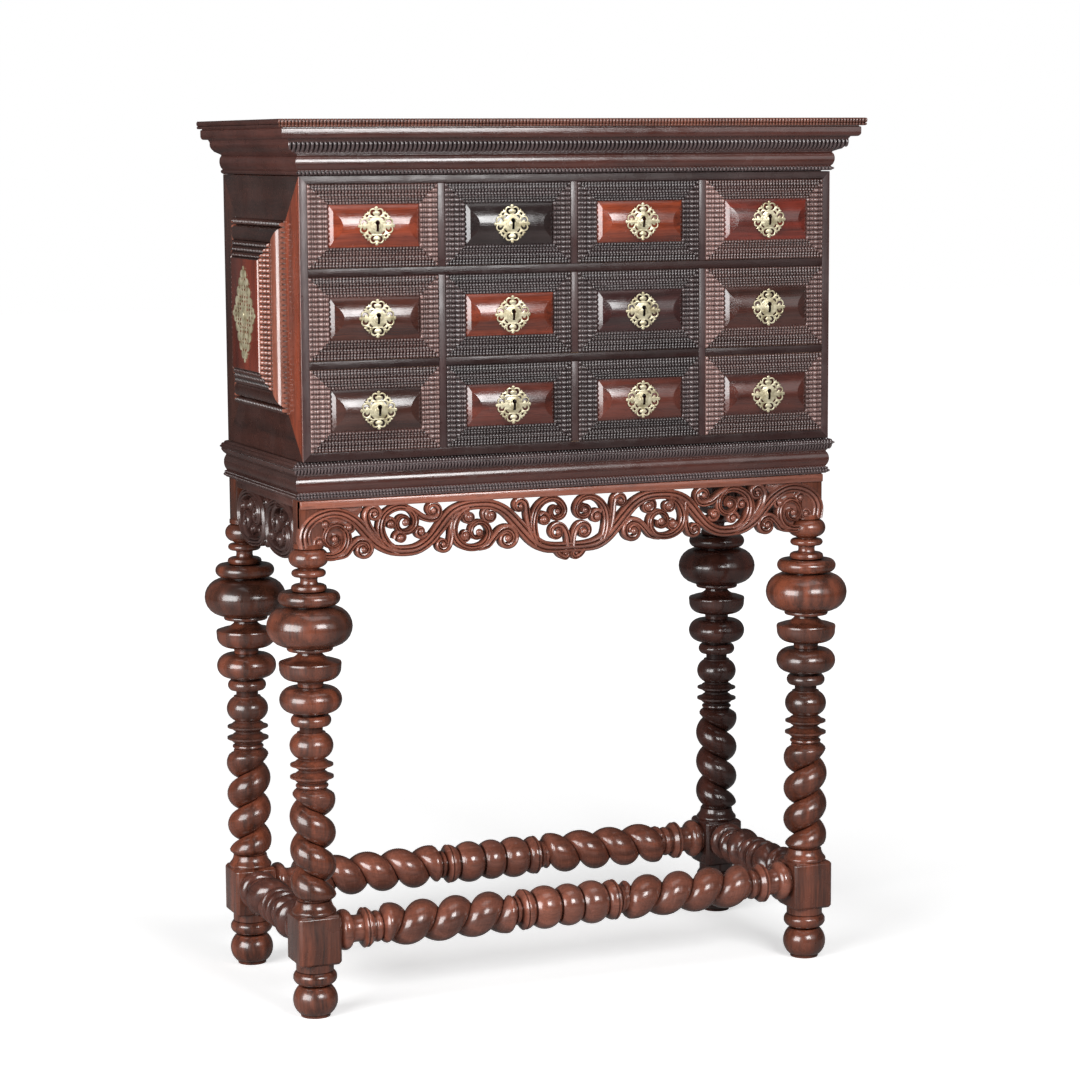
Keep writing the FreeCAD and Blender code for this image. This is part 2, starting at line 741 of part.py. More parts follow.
DRAWERS = [
    *[Drawer(f"top_{column + 1}", column, column, ROWS - 1, ROWS - 1) for column in range(COLUMNS)],
    Drawer("left_deep", 0, 0, 0, 1),
    Drawer("centre_middle", 1, 2, 1, 1),
    Drawer("centre_bottom", 1, 2, 0, 0),
    Drawer("right_deep", 3, 3, 0, 1),
]


def make_case():
    z = ("stand_height", "case_top_z")
    node("case_sides", [
        board("case_side_left", ("-case_width / 2", LOW_X), INSIDE_Y, z),
        board("case_side_right", (HIGH_X, "case_width / 2"), INSIDE_Y, z),
    ])
    top = board("case_top_blank", (LOW_X, HIGH_X), INSIDE_Y, ("case_top_z - top_board", "case_top_z"))
    pocketed = fused("case_top_pockets", [drawer.mortise() for drawer in DRAWERS if drawer.upper == ROWS - 1])
    node("case_top_and_bottom", [
        cut("case_top_board", top, pocketed),
        board("case_bottom_board", (LOW_X, HIGH_X), INSIDE_Y, ("stand_height", "opening_z")),
    ])
    node("case_back", [board("case_back_board", ("-case_width / 2", "case_width / 2"),
                             ("inside_back_y", "back_y"), z)])


def make_dividers():
    upper, lower = row_low(2), row_low(1)
    wide = board("wide_rail_blank", (LOW_X, HIGH_X), INSIDE_Y, (f"{upper} - rail", upper))
    middle = board("middle_rail_blank", (column_low(1), f"{column_low(3)} - stile"), INSIDE_Y,
                   (f"{lower} - rail", lower))
    pieces = [
        cut("wide_rail", wide, fused("wide_rail_pockets", [d.mortise() for d in DRAWERS if d.upper == 1])),
        cut("middle_rail", middle, [d for d in DRAWERS if d.upper == 0][0].mortise()),
    ]
    for column in range(1, COLUMNS):
        x = (f"{column_low(column)} - stile", column_low(column))
        pieces.append(board(f"upper_stile_{column}", x, INSIDE_Y, (upper, "case_top_z - top_board")))
        if column != 2:
            pieces.append(board(f"lower_stile_{column}", x, INSIDE_Y, ("opening_z", f"{upper} - rail")))
    node("drawer_dividers", pieces)


def make_cornice():
    points = scaled(CORNICE_SHARES, size("cornice_overhang"), size("cornice_height"))
    runs = mitred_runs(points, size("case_top_z"), size("front_y"), size("back_y"),
                       size("case_width") / 2, "cornice")
    z = ("case_top_z", "case_top_z + cornice_height")
    thick = "frieze_board"
    across = ("-case_width / 2", "case_width / 2")
    along = (f"front_y + {thick}", f"back_y - {thick}")
    node("cornice", [
        *runs,
        board("frieze_front", across, ("front_y", along[0]), z),
        board("frieze_rear", across, (along[1], "back_y"), z),
        board("frieze_left", (across[0], f"{thick} - case_width / 2"), along, z),
        board("frieze_right", (f"case_width / 2 - {thick}", across[1]), along, z),
    ])


def make_top_slab():
    """The top board: a padded rectangle whose front and side edges are rounded."""
    body = doc.addObject("PartDesign::Body", "top_slab_body")
    sketch = body.newObject("Sketcher::SketchObject", "top_slab_plan")
    plane = next(item for item in body.Origin.OriginFeatures if item.Role == "XY_Plane")
    sketch.AttachmentSupport = [(plane, "")]
    sketch.MapMode = "FlatFace"
    corners = [V(-1, -1), V(1, -1), V(1, 1), V(-1, 1)]
    for index, corner in enumerate(corners):
        sketch.addGeometry(Part.LineSegment(corner * size("slab_overhang"),
                                            corners[(index + 1) % 4] * size("slab_overhang")), False)
    for index in range(4):
        sketch.addConstraint(Sketcher.Constraint("Coincident", index, 2, (index + 1) % 4, 1))
    for index, kind in enumerate(("Horizontal", "Vertical", "Horizontal", "Vertical")):
        sketch.addConstraint(Sketcher.Constraint(kind, index))
    drives = (
        (Sketcher.Constraint("DistanceX", 0, 1, 0, 2, 1), "case_width + 2 * slab_overhang"),
        (Sketcher.Constraint("DistanceY", 1, 1, 1, 2, 1), "case_depth + slab_overhang"),
        (Sketcher.Constraint("DistanceX", 0, 1, -1, 1, 1), "case_width / 2 + slab_overhang"),
        (Sketcher.Constraint("DistanceY", 0, 1, -1, 1, 1), "slab_overhang - front_y"),
    )
    for constraint, text in drives:
        sketch.setExpression(f"Constraints[{sketch.addConstraint(constraint)}]", formula(text))
    pad = bind(body.newObject("PartDesign::Pad", "top_slab_pad"), Length="slab_thick")
    pad.Profile = sketch
    doc.recompute()
    rear = size("back_y")
    edges = [f"Edge{index + 1}" for index, edge in enumerate(pad.Shape.Edges)
             if edge.BoundBox.ZLength < edge.Length / 2 and edge.CenterOfMass.y < rear - size("overrun") / 2]
    fillet = bind(body.newObject("PartDesign::Fillet", "top_slab_nose"), Radius="slab_round")
    fillet.Base = (pad, edges)
    bind(body, z="case_top_z + cornice_height")
    node("top_slab", [body])


# Side panels and their plates

def make_side_panels():
    half = ("case_depth / 2 - side_margin", "case_height / 2 - side_margin")
    inner = (f"{half[0]} - side_moulding", f"{half[1]} - side_moulding")
    y, z = "(front_y + back_y) / 2", "stand_height + case_height / 2"
    pieces = []
    for word, sign, turn in (("left", "-", QUARTER_TURN), ("right", "", -QUARTER_TURN)):
        face = f"{sign}case_width / 2"
        out = -1 if sign else 1
        crest = f"{face} + {out} * side_rise"
        edge = f"{face} + {out} * side_edge"
        low, high = (edge, face) if out < 0 else (face, edge)
        plinth = board(f"side_plinth_{word}", (low, high), (f"{y} - ({half[0]})", f"{y} + {half[0]}"),
                       (f"{z} - ({half[1]})", f"{z} + {half[1]}"))
        slope = frustum(f"side_slope_{word}", half, ("side_moulding", "side_moulding"),
                        "side_rise - side_edge", (edge, y, z), turn)
        low, high = (crest, face) if out < 0 else (face, crest)
        hole = board(f"side_window_{word}", (f"{low} - overrun", f"{high} + overrun"),
                     (f"{y} - ({inner[0]})", f"{y} + {inner[0]}"),
                     (f"{z} - ({inner[1]})", f"{z} + {inner[1]}"))
        field = board(f"side_field_{word}", (low, high), (f"{y} - ({inner[0]})", f"{y} + {inner[0]}"),
                      (f"{z} - ({inner[1]})", f"{z} + {inner[1]}"))
        moulding = cut(f"side_moulding_{word}", fused(f"side_frame_{word}", [plinth, slope]), hole)
        pieces += [moulding, field]
    node("side_panels", pieces)


PLATE_EDGE_SHARES = (
    (1, 0),
    (0.86, 0.16, 0.64, 0.2),
    (0.66, 0.36, 0.5, 0.5),
    (0.36, 0.66, 0.2, 0.64),
    (0.16, 0.86, 0, 1),
)
PLATE_HOLE_SHARES = (
    (0.62, 0.09, 0.055),
    (0.09, 0.62, 0.055),
    (0.36, 0.36, 0.1),
    (0.5, 0.2, 0.06),
    (0.2, 0.5, 0.06),
)


def pierced_plate(wide, high, thick):
    """A lozenge plate with a scalloped edge and a pierced pattern, in the XZ plane, along +Y."""
    points = []
    for turn_x, turn_z, flip in ((1, 1, False), (-1, 1, True), (-1, -1, False), (1, -1, True)):
        quarter = [tuple(number * (turn_x, turn_z)[i % 2] for i, number in enumerate(point))
                   for point in PLATE_EDGE_SHARES]
        if flip:
            ends = [point[-2:] for point in quarter][::-1]
            bends = [point[:2] for point in quarter[1:]][::-1]
            quarter = [ends[0]] + [(*bend, *end) for bend, end in zip(bends, ends[1:])]
        points += quarter[1:]
    points = scaled(points, wide / 2, high / 2)
    plate = Part.Face(outline(points))
    holes = []
    for x, z, radius in PLATE_HOLE_SHARES:
        for turn_x in (1, -1):
            for turn_z in (1, -1):
                centre = V(turn_x * x * wide / 2, turn_z * z * high / 2, 0)
                holes.append(Part.Face(Part.Wire([Part.makeCircle(radius * wide / 2, centre)])))
    solid = plate.cut(holes).extrude(V(0, 0, thick))
    solid.rotate(V(0, 0, 0), V(1, 0, 0), QUARTER_TURN)
    solid.translate(V(0, thick, 0))
    return solid


def make_side_mounts():
    plates = []
    for word, side in (("left", -1), ("right", 1)):
        plate = pierced_plate(size("mount_width"), size("mount_height"), size("mount_thick"))
        plate.rotate(V(0, 0, 0), V(0, 0, 1), side * QUARTER_TURN)
        rise = size("case_width") / 2 + size("side_rise") + size("mount_thick") + size("plate_gap")
        plate.translate(V(side * rise, (size("front_y") + size("back_y")) / 2,
                          size("stand_height") + size("case_height") / 2))
        plates.append(feature(f"side_mount_{word}", plate))
    node("side_mounts", plates)


# Drawers

def keyhole(name, x, z):
    """The round hole behind a plate's keyhole, from before the ridge to behind the lock."""
    return bar(name, "keyhole_radius", "board_back_y - ridge_y + lock_thick + 2 * overrun",
               (x, "ridge_y - overrun", z), V(0, 1, 0))


def make_front(drawer):
    """The raised work on a drawer front: two ripple bands and a panel for each simulated front."""
    pieces = []
    for column, row in drawer.cells:
        name = f"{drawer.name}_{column}_{row}"
        x, z = drawer.key_x(column), drawer.key_z(row)
        half = ("column_width / 2 - front_clear", "row_height / 2 - front_clear")
        steps = [tuple(f"{length} - {text}" for length in half)
                 for text in ("outer_band", "outer_band - inner_band")]

        def block(label, sides, y):
            return board(f"{name}_{label}", (f"{x} - ({sides[0]})", f"{x} + {sides[0]}"), y,
                         (f"{z} - ({sides[1]})", f"{z} + {sides[1]}"))

        through = ("ridge_y - overrun", "board_face_y + overrun")
        centre = (x, "board_face_y", z)
        outer = frustum(f"{name}_outer_slope", half, ("outer_band", "outer_band"), "outer_rise",
                        centre, HALF_TURN)
        inner = frustum(f"{name}_inner_slope", steps[0], ("inner_step", "inner_step"), "inner_rise",
                        centre, HALF_TURN)
        pieces.append(cut(f"{name}_outer_band", outer, block("outer_window", steps[0], through)))
        pieces.append(cut(f"{name}_inner_band", inner, block("inner_window", steps[1], through)))
        base = block("panel_base", steps[1], ("board_face_y - panel_edge", "board_face_y"))
        bevel = frustum(f"{name}_bevel", steps[1], ("panel_bevel", "0"), "panel_arch",
                        (x, "board_face_y - panel_edge", z), HALF_TURN)
        arch = bar(f"{name}_arch", "panel_radius", f"2 * ({steps[1][0]}) + 2 * overrun",
                   (f"{x} - ({steps[1][0]}) - overrun", "ridge_y + panel_radius", z), V(1, 0, 0))
        dome = add("Part::Common", f"{name}_dome", Base=bevel, Tool=arch)
        panel = fused(f"{name}_panel_block", [base, dome])
        pieces.append(cut(f"{name}_panel", panel, keyhole(f"{name}_panel_keyhole", x, z)))
    wide = (drawer.low_x, drawer.high_x)
    skin = ("front_y", "board_face_y")
    if drawer.upper > drawer.lower:
        pieces.append(board(f"{drawer.name}_strip", wide, skin,
                            (f"{row_low(drawer.upper)} - rail", row_low(drawer.upper))))
    if drawer.last > drawer.first:
        low = column_low(drawer.last)
        pieces.append(board(f"{drawer.name}_strip", (f"{low} - stile", low), skin,
                            (drawer.low_z, drawer.high_z)))
    node(f"{drawer.name}_front", pieces)


def make_box(drawer):
    """The drawer's front board, sides, back and bottom."""
    x = (drawer.low_x, drawer.high_x)
    inside = (f"{drawer.low_x} + drawer_side", f"{drawer.high_x} - drawer_side")
    wall = (drawer.low_z, f"{drawer.high_z} - drawer_head_room")
    along = ("board_back_y", "drawer_end_y")
    blank = board(f"{drawer.name}_board_blank", x, ("board_face_y", "board_back_y"),
                  (drawer.low_z, drawer.high_z))
    column, row = drawer.cells[0]
    hole = keyhole(f"{drawer.name}_board_keyhole", drawer.key_x(column), drawer.key_z(row))
    node(f"{drawer.name}_box", [
        cut(f"{drawer.name}_board", blank, hole),
        board(f"{drawer.name}_side_left", (x[0], inside[0]), along, wall),
        board(f"{drawer.name}_side_right", (inside[1], x[1]), along, wall),
        board(f"{drawer.name}_back", inside, ("drawer_end_y - drawer_side", "drawer_end_y"), wall),
        board(f"{drawer.name}_bottom", inside, ("board_back_y", "drawer_end_y - drawer_side"),
              (drawer.low_z, f"{drawer.low_z} + drawer_bottom")),
    ])


def make_escutcheon(drawer):
    """One pierced plate for each simulated front, bent to the arch of its panel."""
    plates = []
    for column, row in drawer.cells:
        x = size("opening_x") + column * size("column_pitch") + size("column_width") / 2
        z = size("opening_z") + row * size("row_pitch") + size("row_height") / 2
        depth = size("panel_arch") + size("overrun")
        blank = pierced_plate(size("plate_size"), size("plate_size"), depth)
        blank.translate(V(0, size("ridge_y") - size("overrun"), 0))
        inner = size("panel_radius") + size("plate_gap")
        axis = V(-size("plate_size"), size("ridge_y") + size("panel_radius"), 0)
        shell = Part.makeCylinder(inner + size("plate_thick"), 2 * size("plate_size"), axis, V(1, 0, 0))
        shell = shell.cut(Part.makeCylinder(inner, 2 * size("plate_size"), axis, V(1, 0, 0)))
        start = V(0, size("ridge_y") - size("overrun"), 0)
        key = Part.makeCylinder(size("keyhole_radius"), depth, start, V(0, 1, 0))
        slot = Part.makeBox(size("keyhole_slot"), depth, size("keyhole_drop"),
                            start - V(size("keyhole_slot") / 2, 0, size("keyhole_drop")))
        plate = blank.common(shell).cut([key, slot])
        plate.translate(V(x, 0, z))
        plates.append(feature(f"{drawer.name}_plate_{column}_{row}", plate))
    node(f"{drawer.name}_escutcheon", plates)


def make_lock(drawer):
    """The iron lock case behind the front board and the bolt that slides up in it."""
    column, row = drawer.cells[0]
    x, z = drawer.key_x(column), drawer.key_z(row)
    y = "board_back_y + lock_thick / 2"
    blank = board(f"{drawer.name}_lock_blank", (f"{x} - lock_width / 2", f"{x} + lock_width / 2"),
                  ("board_back_y", "board_back_y + lock_thick"), (f"{z} - lock_below_key", drawer.high_z))
    room = board(f"{drawer.name}_lock_channel",
                 (f"{x} - bolt_width / 2 - bolt_clear", f"{x} + bolt_width / 2 + bolt_clear"),
                 (f"{y} - bolt_thick / 2 - bolt_clear", f"{y} + bolt_thick / 2 + bolt_clear"),
                 (f"{z} + bolt_above_key", f"{drawer.high_z} + overrun"))
    hole = keyhole(f"{drawer.name}_lock_keyhole", x, z)
    node(f"{drawer.name}_lock", [
        cut(f"{drawer.name}_lock_case", blank, fused(f"{drawer.name}_lock_spaces", [room, hole])),
    ])
    node(f"{drawer.name}_bolt", [
        board(f"{drawer.name}_bolt_bar", (f"{x} - bolt_width / 2", f"{x} + bolt_width / 2"),
              (f"{y} - bolt_thick / 2", f"{y} + bolt_thick / 2"),
              (f"{z} + bolt_above_key + bolt_clear", f"{drawer.high_z} - bolt_clear")),
    ])


# Build, check and write

make_stand_woodwork()
make_stand_frame()
make_stand_moulding()
make_aprons()
make_case()
make_dividers()
make_cornice()
make_top_slab()
make_side_panels()
make_side_mounts()
for one in DRAWERS:
    make_box(one)
    make_front(one)
    make_escutcheon(one)
    make_lock(one)
doc.recompute()

for item in doc.Objects:
    if {"Invalid", "Error"} & set(item.State):
        raise RuntimeError(f"{item.Name} failed: {item.State}")
for item in nodes:
    if item.Shape.isNull() or not item.Shape.isValid():
        raise RuntimeError(f"{item.Label} has no valid shape")

os.makedirs("parts", exist_ok=True)
for item in nodes:
    item.Shape.exportStep(f"parts/{item.Label}.step")
print(len(nodes), "nodes written")
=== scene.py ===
"""Cabinet of drawers on a turned stand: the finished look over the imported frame."""
import math

import bmesh
import bpy
from mathutils import Matrix, Vector


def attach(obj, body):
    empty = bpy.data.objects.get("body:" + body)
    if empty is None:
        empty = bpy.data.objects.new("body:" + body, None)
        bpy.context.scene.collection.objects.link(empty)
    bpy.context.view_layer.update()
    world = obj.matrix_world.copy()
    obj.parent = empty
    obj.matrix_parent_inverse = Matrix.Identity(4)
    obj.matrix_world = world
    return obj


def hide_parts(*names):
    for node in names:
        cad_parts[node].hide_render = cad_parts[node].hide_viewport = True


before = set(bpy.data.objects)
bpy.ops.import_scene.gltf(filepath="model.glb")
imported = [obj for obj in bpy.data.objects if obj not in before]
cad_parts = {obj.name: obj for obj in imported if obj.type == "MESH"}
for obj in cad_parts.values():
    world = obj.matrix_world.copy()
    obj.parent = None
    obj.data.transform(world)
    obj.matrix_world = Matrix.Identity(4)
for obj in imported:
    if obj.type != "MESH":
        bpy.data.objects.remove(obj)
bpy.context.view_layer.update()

# Sizes in millimetres, from the CAD; meshes are in metres.
MM = 0.001
FRONT_Y, BACK_Y = -201.25, 196.75
BACK_BOARD_Y = BACK_Y - 10
HALF_WIDTH = 455
STAND_TOP, CASE_TOP, SLAB_TOP = 887, 1324, 1410
CASE_MIDDLE_Y, CASE_MIDDLE_Z = (FRONT_Y + BACK_Y) / 2, (STAND_TOP + CASE_TOP) / 2
OPENING_HALF, OPENING_LOW, OPENING_HIGH = 442.5, 900, 1312
COLUMN_WIDTH, COLUMN_PITCH, STILE_WIDTH = 212.625, 224.125, 11.5
ROW_HEIGHT, ROW_PITCH, RAIL_HEIGHT = 129, 141.5, 12.5
BOARD_FACE = -200.25
LEG_X, LEG_FRONT_Y, LEG_BACK_Y = 436.5, -162.75, 178.25
STAND_MIDDLE_Y = (LEG_FRONT_Y + LEG_BACK_Y) / 2
STAND_FRONT_Y = -181.25
STRETCHER_Z = 134
FINE_WELD = 0.000001


# Working with the operators

def put_down():
    """Leave edit mode with nothing selected."""
    if bpy.context.mode != "OBJECT":
        bpy.ops.object.mode_set(mode="OBJECT")
    bpy.ops.object.select_all(action="DESELECT")
    bpy.context.view_layer.objects.active = None


def pick(*things):
    """Select only these, the first one active."""
    put_down()
    for thing in things:
        thing.select_set(True)
    bpy.context.view_layer.objects.active = things[0]
    return things[0]


def edit(thing):
    """Go into edit mode with the whole mesh selected."""
    pick(thing)
    bpy.ops.object.mode_set(mode="EDIT")
    bpy.ops.mesh.select_all(action="SELECT")


def named(name):
    """Name the piece that is active, and its mesh."""
    thing = bpy.context.active_object
    thing.name = name
    thing.data.name = name
    return thing


def settle(thing):
    """Put place, turn and size into the mesh."""
    pick(thing)
    bpy.ops.object.transform_apply(location=True, rotation=True, scale=True)
    return thing


def face_outwards(thing, weld=0.00001):
    """Merge the doubles and point all faces outwards."""
    edit(thing)
    bpy.ops.mesh.remove_doubles(threshold=weld)
    bpy.ops.mesh.normals_make_consistent(inside=False)
    put_down()
    return thing


def apply_modifier(thing, kind, **settings):
    """Add a modifier with these settings and apply it."""
    pick(thing)
    modifier = thing.modifiers.new(kind.title(), kind)
    for key, setting in settings.items():
        setattr(modifier, key, setting)
    bpy.ops.object.modifier_apply(modifier=modifier.name)
    return thing


def soften(thing, width, segments, angle=30):
    """Bevel the edges that are sharper than the angle."""
    return apply_modifier(thing, "BEVEL", width=width * MM, segments=segments, limit_method="ANGLE",
                          angle_limit=math.radians(angle), harden_normals=False)


def join(name, pieces):
    """Make one piece of several."""
    pick(*pieces)
    if len(pieces) > 1:
        bpy.ops.object.join()
    return named(name)


def copy(thing, name):
    """A copy with a mesh of its own."""
    twin = thing.copy()
    twin.data = thing.data.copy()
    twin.name = twin.data.name = name
    bpy.context.collection.objects.link(twin)
    return twin


def move(thing, x=0, y=0, z=0):
    """Shift the mesh by millimetres; the object stays at the origin."""
    thing.data.transform(Matrix.Translation(Vector((x, y, z)) * MM))
    return thing


def turn(thing, angle, axis):
    """Turn the mesh about an axis through the origin."""
    thing.data.transform(Matrix.Rotation(math.radians(angle), 4, axis))
    return thing


def mirror_x(thing):
    """Turn into its mirror image, left for right, with its faces still outwards."""
    thing.data.transform(Matrix.Scale(-1, 4, (1, 0, 0)))
    thing.data.flip_normals()
    return thing


def slice_off(thing, point, normal):
    """Cut along a plane, keep the side that the normal points to, and close the cut."""
    edit(thing)
    bpy.ops.mesh.bisect(plane_co=Vector(point) * MM, plane_no=Vector(normal).normalized(),
                        use_fill=True, clear_inner=True, threshold=FINE_WELD)
    put_down()
    return thing


def gather_grime_and_shade(thing, gain):
    """Mark the hollows for grime and painted shade: the mask is 1 at a point whose edges fold
    inwards sharply.
    """
    shape = bmesh.new()
    shape.from_mesh(thing.data)
    layer = shape.verts.layers.float.new("grime_and_shade")
    for point in shape.verts:
        fold = min((edge.calc_face_angle_signed(0) for edge in point.link_edges), default=0)
        point[layer] = min(1, max(0, -fold * gain - 0.2))
    shape.to_mesh(thing.data)
    shape.free()
    return thing


def finish(thing, body, material, nodes, angle=35):
    """Shade and cover a piece, ride it on its body, and let it stand for its CAD nodes."""
    pick(thing)
    bpy.ops.object.shade_smooth_by_angle(angle=math.radians(angle))
    thing.data.materials.clear()
    thing.data.materials.append(material)
    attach(thing, body)
    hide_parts(*nodes)
    put_down()
    return thing


# Materials: shared effects

def group(name, inputs, outputs):
    """A shared effect: inputs are (label, kind, value), outputs are (label, kind)."""
    tree = bpy.data.node_groups.new(name, "ShaderNodeTree")
    for label, kind, value in inputs:
        socket = tree.interface.new_socket(label, in_out="INPUT",
                                           socket_type="NodeSocket" + kind)
        if value is not None:
            socket.default_value = value
    for label, kind in outputs:
        tree.interface.new_socket(label, in_out="OUTPUT", socket_type="NodeSocket" + kind)
    return tree, tree.nodes.new("NodeGroupInput"), tree.nodes.new("NodeGroupOutput")


def node(tree, kind, **settings):
    """Add a node; a setting is a property, or the value or link of an input (i0 is the first)."""
    item = tree.nodes.new("ShaderNode" + kind)
    for key, value in settings.items():
        if hasattr(item, key):
            setattr(item, key, value)
            continue
        label = key.replace("_", " ")
        socket = item.inputs[int(key[1:])] if key[1:].isdigit() else item.inputs[label]
        if isinstance(value, bpy.types.NodeSocket):
            tree.links.new(value, socket)
        else:
            socket.default_value = value
    return item


def ramp(tree, fac, stops):
    """A colour ramp with (place, colour) stops."""
    item = node(tree, "ValToRGB", Fac=fac)
    points = item.color_ramp.elements
    while len(points) < len(stops):
        points.new(0.5)
    for point, (place, shade) in zip(points, stops):
        point.position = place
        point.color = (*shade, 1)
    return item.outputs["Color"]


def mixed(tree, fac, a, b, blend="MIX"):
    """Mix two colours; places 0, 6 and 7 are the factor and the colours of a Mix node."""
    item = tree.nodes.new("ShaderNodeMix")
    item.data_type = "RGBA"
    item.blend_type = blend
    for place, value in ((0, fac), (6, a), (7, b)):
        if isinstance(value, bpy.types.NodeSocket):
            tree.links.new(value, item.inputs[place])
        else:
            item.inputs[place].default_value = value if place == 0 else (*value, 1)
    return item.outputs[2]


def make_figure():
    """Wood figure along the vector's X: broad streaks, fine lines, pores and darker clouds."""
    tree, inside, out = group(
        "Wood figure",
        [("Vector", "Vector", None), ("Light", "Color", (0.3, 0.1, 0.05, 1)),
         ("Dark", "Color", (0.05, 0.02, 0.01, 1)), ("Contrast", "Float", 0.6),
         ("Clouds", "Float", 0.4)],
        [("Color", "Color"), ("Height", "Float"), ("Streak", "Float")])
    vector = inside.outputs["Vector"]
    sway = node(tree, "TexNoise", Vector=vector, Scale=7.0, Detail=2.0)
    bent = node(tree, "VectorMath", operation="MULTIPLY_ADD", i0=sway.outputs["Color"],
                i1=(0.0, 0.02, 0.02), i2=vector)
    along = node(tree, "Mapping", Vector=bent.outputs[0], Scale=(1.1, 26.0, 26.0))
    broad = node(tree, "TexNoise", Vector=along.outputs[0], Scale=1.6, Detail=4.0, Roughness=0.55)
    fine_map = node(tree, "Mapping", Vector=bent.outputs[0], Scale=(3.0, 190.0, 190.0))
    fine = node(tree, "TexNoise", Vector=fine_map.outputs[0], Scale=1.7, Detail=3.0, Roughness=0.6)
    pore_map = node(tree, "Mapping", Vector=bent.outputs[0], Scale=(26.0, 620.0, 620.0))
    pores = node(tree, "TexNoise", Vector=pore_map.outputs[0], Scale=1.3, Detail=1.0)
    clouds = node(tree, "TexNoise", Vector=vector, Scale=5.5, Detail=3.0)
    streak = node(tree, "MapRange", Value=broad.outputs["Fac"], From_Min=0.36, From_Max=0.64)
    line = node(tree, "MapRange", Value=fine.outputs["Fac"], From_Min=0.34, From_Max=0.66)
    both = node(tree, "Math", operation="MULTIPLY_ADD", i0=line.outputs[0], i1=0.35,
                i2=streak.outputs[0])
    even = node(tree, "Math", operation="SUBTRACT", i0=both.outputs[0], i1=0.18)
    spread = node(tree, "Math", operation="MULTIPLY", i0=even.outputs[0],
                  i1=inside.outputs["Contrast"], use_clamp=True)
    base = mixed(tree, spread.outputs[0], inside.outputs["Light"], inside.outputs["Dark"])
    cloud = node(tree, "MapRange", Value=clouds.outputs["Fac"], From_Min=0.42, From_Max=0.68)
    cloudy = node(tree, "Math", operation="MULTIPLY", i0=cloud.outputs[0],
                  i1=inside.outputs["Clouds"])
    shaded = mixed(tree, cloudy.outputs[0], base, inside.outputs["Dark"])
    hole = node(tree, "MapRange", Value=pores.outputs["Fac"], From_Min=0.36, From_Max=0.46)
    deep = node(tree, "Math", operation="MULTIPLY_ADD", i0=hole.outputs[0], i1=0.25, i2=0.75)
    tone = mixed(tree, 1.0, shaded, deep.outputs[0], "MULTIPLY")
    tree.links.new(tone, out.inputs["Color"])
    height = node(tree, "Math", operation="MULTIPLY_ADD", i0=hole.outputs[0], i1=0.6,
                  i2=line.outputs[0])
    tree.links.new(height.outputs[0], out.inputs["Height"])
    tree.links.new(spread.outputs[0], out.inputs["Streak"])
    return tree


def make_age():
    """Old polish: uneven gloss, small knocks, and grey bloom in patches."""
    tree, inside, out = group(
        "Old polish",
        [("Vector", "Vector", None), ("Color", "Color", (0.2, 0.1, 0.05, 1)),
         ("Bloom", "Float", 0.15), ("Polish", "Float", 0.25)],
        [("Color", "Color"), ("Roughness", "Float"), ("Height", "Float")])
    vector = inside.outputs["Vector"]
    patches = node(tree, "TexNoise", Vector=vector, Scale=9.0, Detail=5.0, Roughness=0.6)
    patch = node(tree, "MapRange", Value=patches.outputs["Fac"], From_Min=0.45, From_Max=0.75)
    bloom = node(tree, "Math", operation="MULTIPLY", i0=patch.outputs[0],
                 i1=inside.outputs["Bloom"])
    greyed = mixed(tree, bloom.outputs[0], inside.outputs["Color"], (0.42, 0.37, 0.36))
    tree.links.new(greyed, out.inputs["Color"])
    smears = node(tree, "TexNoise", Vector=vector, Scale=38.0, Detail=4.0)
    dull = node(tree, "MapRange", Value=smears.outputs["Fac"], From_Min=0.35, From_Max=0.7,
                To_Min=-0.05, To_Max=0.14)
    rough = node(tree, "Math", operation="ADD", i0=dull.outputs[0], i1=inside.outputs["Polish"])
    tree.links.new(rough.outputs[0], out.inputs["Roughness"])
    knocks = node(tree, "TexVoronoi", Vector=vector, Scale=70.0, Randomness=1.0)
    knock = node(tree, "MapRange", Value=knocks.outputs["Distance"], From_Min=0.02, From_Max=0.1)
    soft = node(tree, "TexNoise", Vector=vector, Scale=22.0, Detail=2.0)
    relief = node(tree, "Math", operation="MULTIPLY_ADD", i0=knock.outputs[0], i1=0.35,
                  i2=soft.outputs["Fac"])
    tree.links.new(relief.outputs[0], out.inputs["Height"])
    return tree


FIGURE = make_figure()
AGE = make_age()


def use(tree, shared, **values):
    """Place a shared effect, each input with a number, a colour or a link."""
    item = tree.nodes.new("ShaderNodeGroup")
    item.node_tree = shared
    for key, value in values.items():
        if isinstance(value, bpy.types.NodeSocket):
            tree.links.new(value, item.inputs[key])
        elif isinstance(value, tuple):
            item.inputs[key].default_value = (*value, 1)
        else:
            item.inputs[key].default_value = value
    return item


# Near black for the hollows: grime, and painted shade where creases and grooves fall dark.
GRIME_AND_SHADE = (0.004, 0.003, 0.003)


